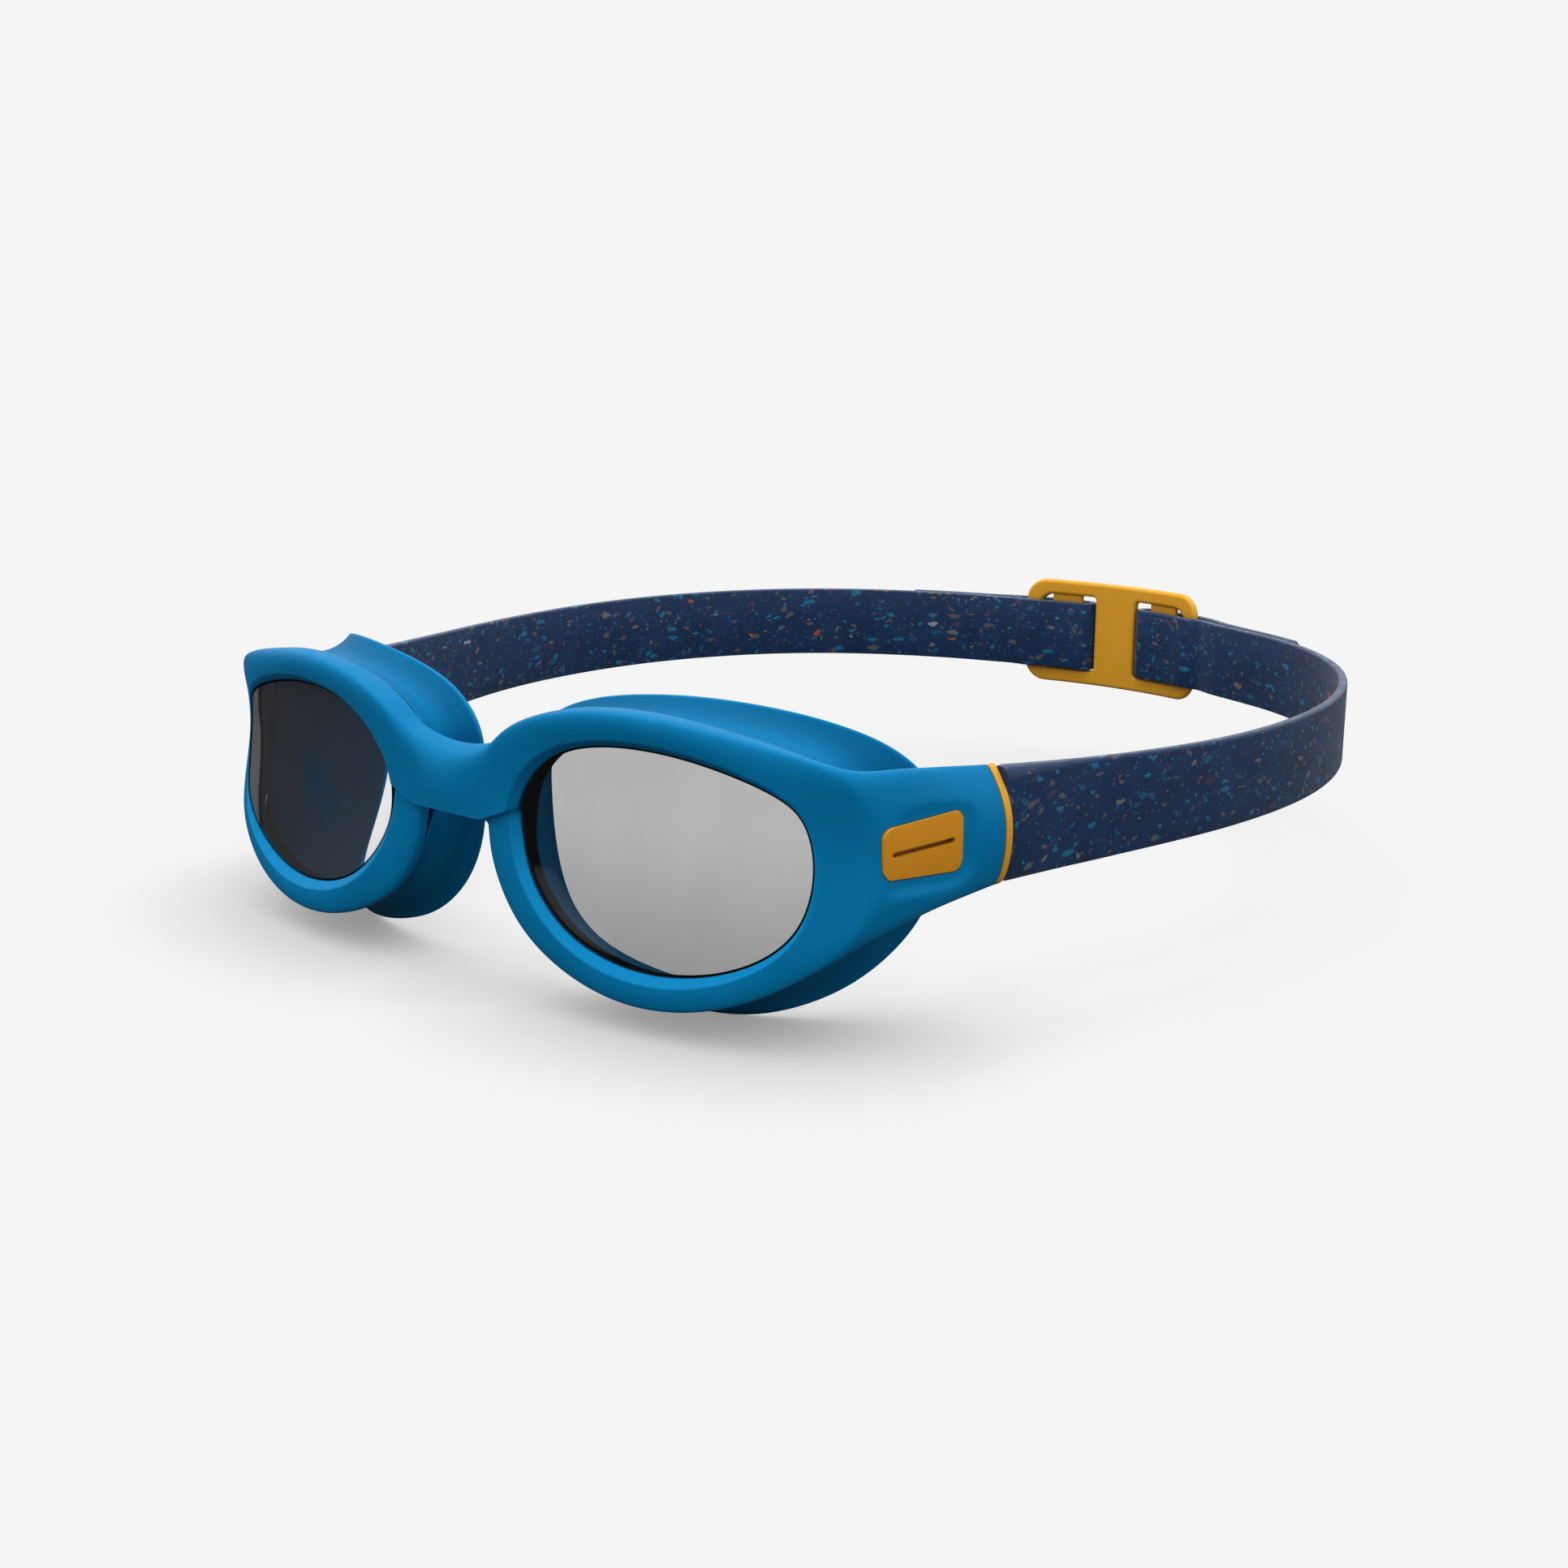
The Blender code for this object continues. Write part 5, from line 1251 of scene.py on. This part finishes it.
def unwrap_strap(mesh, uvs, girths, size):
    """UV map in centimetres along and round the strap."""
    layer = mesh.uv_layers.new(name="run")
    for poly in mesh.polygons:
        corners = [mesh.loops[q].vertex_index for q in poly.loop_indices]
        places = [q % size for q in corners]
        seam = len(corners) == 4 and 0 in places and size - 1 in places
        for q, vertex in zip(poly.loop_indices, corners):
            u, v = uvs[vertex]
            if seam and vertex % size == 0:
                v = girths[vertex // size]
            layer.data[q].uv = (u, v)


def build_strap(tag, side):
    """Strap in two pieces, front and rear, meeting at SPLIT_Y; the CAD strap is hidden."""
    sections, split = strap_sections(side)
    for part, rows, bodies, start_y, end_y in (
            ("front", sections[:split + 1], ("mask", "straps"), 0.0446, 0.080),
            ("rear", sections[split:], ("straps", "buckle"), 0.116, 0.192)):
        size, n = len(rows[0][0]), len(rows)
        faces = bands(n, size)
        faces.append(tuple(range(size)))
        faces.append(tuple(range(n * size - 1, (n - 1) * size - 1, -1)))
        ob = solid(f"strap_{tag}_{part}", [p for row in rows for p in row[0]], faces, NAVY,
                   side)
        unwrap_strap(ob.data, [uv for row in rows for uv in row[1]],
                     [row[2] for row in rows], size)
        settle(ob, sharp_angle=55)
        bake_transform(ob)
        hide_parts(f"strap_{tag}")


# ------------------------------------------------------------------- buckle
def fine_plate(outlines, thick, edge, span):
    """Flat plate with holes and round edges, cut across finely so it can bend."""
    curve = bpy.data.curves.new("plate", "CURVE")
    curve.dimensions = "2D"
    curve.fill_mode = "BOTH"
    curve.extrude = (thick / 2 - edge) * MM
    curve.bevel_depth = edge * MM
    curve.bevel_resolution = 4
    curve.offset = -edge * MM
    for outline in outlines:
        line = curve.splines.new("POLY")
        line.points.add(len(outline) - 1)
        for point, (x, z) in zip(line.points, outline):
            point.co = (x * MM, z * MM, 0, 1)
        line.use_cyclic_u = True
    ob = bpy.data.objects.new("plate", curve)
    bpy.context.scene.collection.objects.link(ob)
    mesh = evaluated_mesh(ob)
    bpy.data.objects.remove(ob, do_unlink=True)
    bm = bmesh.new()
    bm.from_mesh(mesh)
    bmesh.ops.remove_doubles(bm, verts=bm.verts[:], dist=0.000005)
    for x in np.arange(span[0], span[1] + 1e-6, 1.1):
        bmesh.ops.bisect_plane(bm, geom=bm.verts[:] + bm.edges[:] + bm.faces[:],
                               dist=0.000002, plane_co=(x * MM, 0, 0), plane_no=(1, 0, 0))
    bm.verts.index_update()
    verts = [tuple(vert.co / MM) for vert in bm.verts]
    faces = [tuple(vert.index for vert in face.verts) for face in bm.faces]
    bm.free()
    return verts, faces


def bent_plate(outlines, depth, thick, edge, span):
    """Plate bent onto the buckle's curve, a depth below its front face."""
    verts, faces = fine_plate(outlines, thick, edge, span)
    return [(BUCKLE_X + x, plate_y(x) + depth + thick / 2 + w, BUCKLE_Z + z)
            for x, z, w in verts], faces


def window_outline(sign):
    """Window outline: tight corners at the pillar, wide ones at the end."""
    corners = box(*WINDOW_X, -WINDOW_HALF_H, WINDOW_HALF_H)
    tight, wide = rounded(corners, 0.8, 6), rounded(corners, 3.2, 10)
    mid_x = sum(WINDOW_X) / 2
    points = ([q for q in tight if q[0] < mid_x and q[1] < 0]
              + [q for q in tight if q[0] < mid_x and q[1] > 0]
              + [q for q in wide if q[0] > mid_x and q[1] > 0]
              + [q for q in wide if q[0] > mid_x and q[1] < 0])
    return [(sign * x, z) for x, z in points]


def build_buckle():
    outer = rounded(box(-BUCKLE_HALF_W, BUCKLE_HALF_W, -BUCKLE_HALF_H, BUCKLE_HALF_H),
                    BUCKLE_CORNER, 12)
    plate = bent_plate([outer, window_outline(1), window_outline(-1)], depth=0.0,
                       thick=BUCKLE_THICK, edge=0.8, span=(-20.9, 20.9))
    ob = solid("buckle_moulding", *plate, AMBER, smooth=False)
    half_h = WINDOW_HALF_H + 1.2        # the bars run into the plate
    for sign in (1, -1):
        low_x, high_x = sorted((sign * BAR_X[0], sign * BAR_X[1]))
        bar = bent_plate([box(sign * BAR_X[0], sign * BAR_X[1], -half_h, half_h)],
                         depth=BAR_DEPTH[0], thick=BAR_THICK, edge=0.32,
                         span=(low_x + 0.6, high_x - 0.6))
        boolean(ob, solid("tool", *bar, smooth=False), "UNION")
    only_material(ob, AMBER)
    settle(ob, sharp_angle=38)
    register(ob, "strap_buckle", body="buckle")


# -------------------------------------------------------------------- stage
FLOOR_LOOK = 0.912          # brightness of the floor and backdrop to the camera
FLOOR_HALF = 6.0


def build_floor(low):
    """Pale emitting floor with painted soft shadows near the goggles, plain further out."""
    n = Nodes(bpy.data.materials.new("studio_floor"))
    place = n.geometry("Position")
    far = n.add("ShaderNodeVectorMath", {0: place, 1: (0, -0.01, low.z)},
                operation="DISTANCE").outputs["Value"]
    # painted shadows: ambient occlusion darkens the floor's emission near the goggles
    contact = n.remap(n.openness(distance=0.031, samples=8), (0.05, 1.0),
                      target=(0.31, 1.0), smooth=False)
    soft = n.remap(n.openness(distance=0.11, samples=4), (0.0, 1.0),
                   target=(0.93, 1.0), smooth=False)
    grain = n.remap(n.noise(place, scale=60.0, detail=3.0), SPREAD, target=(0.997, 1.003))
    tone = n.times(n.times(contact, soft), grain)
    fade = n.remap(far, (0.22, 0.34))
    tone = n.math("ADD", n.times(tone, n.inverse(fade)), fade)
    # the floor lights the goggles with 9 % of what the camera sees
    seen = n.math("ADD", n.times(n.camera_ray(), 0.91), 0.09)
    strength = n.times(seen, n.times(tone, FLOOR_LOOK))
    n.output(n.add("ShaderNodeEmission", {0: (1, 1, 1, 1), 1: strength}).outputs[0])
    mesh = bpy.data.meshes.new("floor")
    s = FLOOR_HALF
    z = low.z - 0.00002
    mesh.from_pydata([(-s, -s, z), (s, -s, z), (s, s, z), (-s, s, z)], [], [(0, 1, 2, 3)])
    ob = bpy.data.objects.new("studio_floor", mesh)
    bpy.context.scene.collection.objects.link(ob)
    mesh.materials.append(n.owner)


def build_light(target):
    """Square soft light above the goggles."""
    light = bpy.data.lights.new("top_soft", "AREA")
    light.shape = "RECTANGLE"
    light.size = light.size_y = 0.55
    light.energy = 1.9
    ob = bpy.data.objects.new("top_soft", light)
    place = (target.x - 0.05, target.y + 0.05, target.z + 0.70)
    ob.location = place
    ob.rotation_mode = "QUATERNION"
    ob.rotation_quaternion = (target - Vector(place)).to_track_quat("-Z", "Y")
    bpy.context.scene.collection.objects.link(ob)


# Sky brightness from straight down (0) over the horizon (0.5) to straight up (1).
SKY = ((0.0, 0.03), (0.485, 0.05), (0.53, 0.80), (0.75, 0.98), (1.0, 1.05))


def build_world():
    """Graded sky for lighting, the floor's plain tone as backdrop to the camera."""
    world = bpy.data.worlds.new("studio")
    bpy.context.scene.world = world
    n = Nodes(world)
    n.tree.nodes.clear()
    direction = n.add("ShaderNodeTexCoord").outputs["Generated"]
    height = n.math("MULTIPLY_ADD", n.xyz(direction)[2], 0.5, 0.5)
    colour = n.ramp(height, [(at, grey(value)) for at, value in SKY])
    sky = n.add("ShaderNodeBackground", {"Color": colour, "Strength": 0.98}).outputs[0]
    plain = n.add("ShaderNodeBackground",
                  {"Color": (*grey(FLOOR_LOOK), 1), "Strength": 1.0}).outputs[0]
    n.add("ShaderNodeOutputWorld", {0: n.mix_shader(n.camera_ray(), sky, plain)})


# ------------------------------------------------------------------- camera
CAMERA_AT = (262.15, -234.68, 86.99)    # millimetres, in the layout's frame
CAMERA_ANGLES = (39.425, 13.612, 0.547) # azimuth, elevation, roll (degrees)
CAMERA_LENS = 50.31055901               # focal length on a sensor 36 mm wide


def build_camera():
    azimuth, elevation, roll = (math.radians(q) for q in CAMERA_ANGLES)
    forward = Vector((-math.sin(azimuth) * math.cos(elevation),
                      math.cos(azimuth) * math.cos(elevation), -math.sin(elevation)))
    right = Vector((math.cos(azimuth), math.sin(azimuth), 0.0))
    up = right.cross(forward)
    right, up = (right * math.cos(roll) + up * math.sin(roll),
                 up * math.cos(roll) - right * math.sin(roll))
    camera = bpy.data.cameras.new("camera")
    camera.sensor_width = 36.0
    camera.lens = CAMERA_LENS
    camera.clip_start, camera.clip_end = 0.01, 30.0
    ob = bpy.data.objects.new("camera", camera)
    ob.matrix_world = Matrix([
        (right[k], up[k], -forward[k], CAMERA_AT[k] * MM + SHIFT[k]) for k in range(3)]
        + [(0, 0, 0, 1)])
    bpy.context.scene.collection.objects.link(ob)
    bpy.context.scene.camera = ob


# ----------------------------------------------------------------- assembly
build_frame()
for tag, side in (("left", 1), ("right", -1)):
    for build in (build_lens, build_gasket, build_connector, build_collar, build_strap):
        build(tag, side)
build_buckle()

low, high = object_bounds()
build_floor(low)
build_light((low + high) / 2)
build_world()
bpy.context.scene.view_settings.view_transform = "Standard"
bpy.context.scene.view_settings.look = "None"
build_camera()
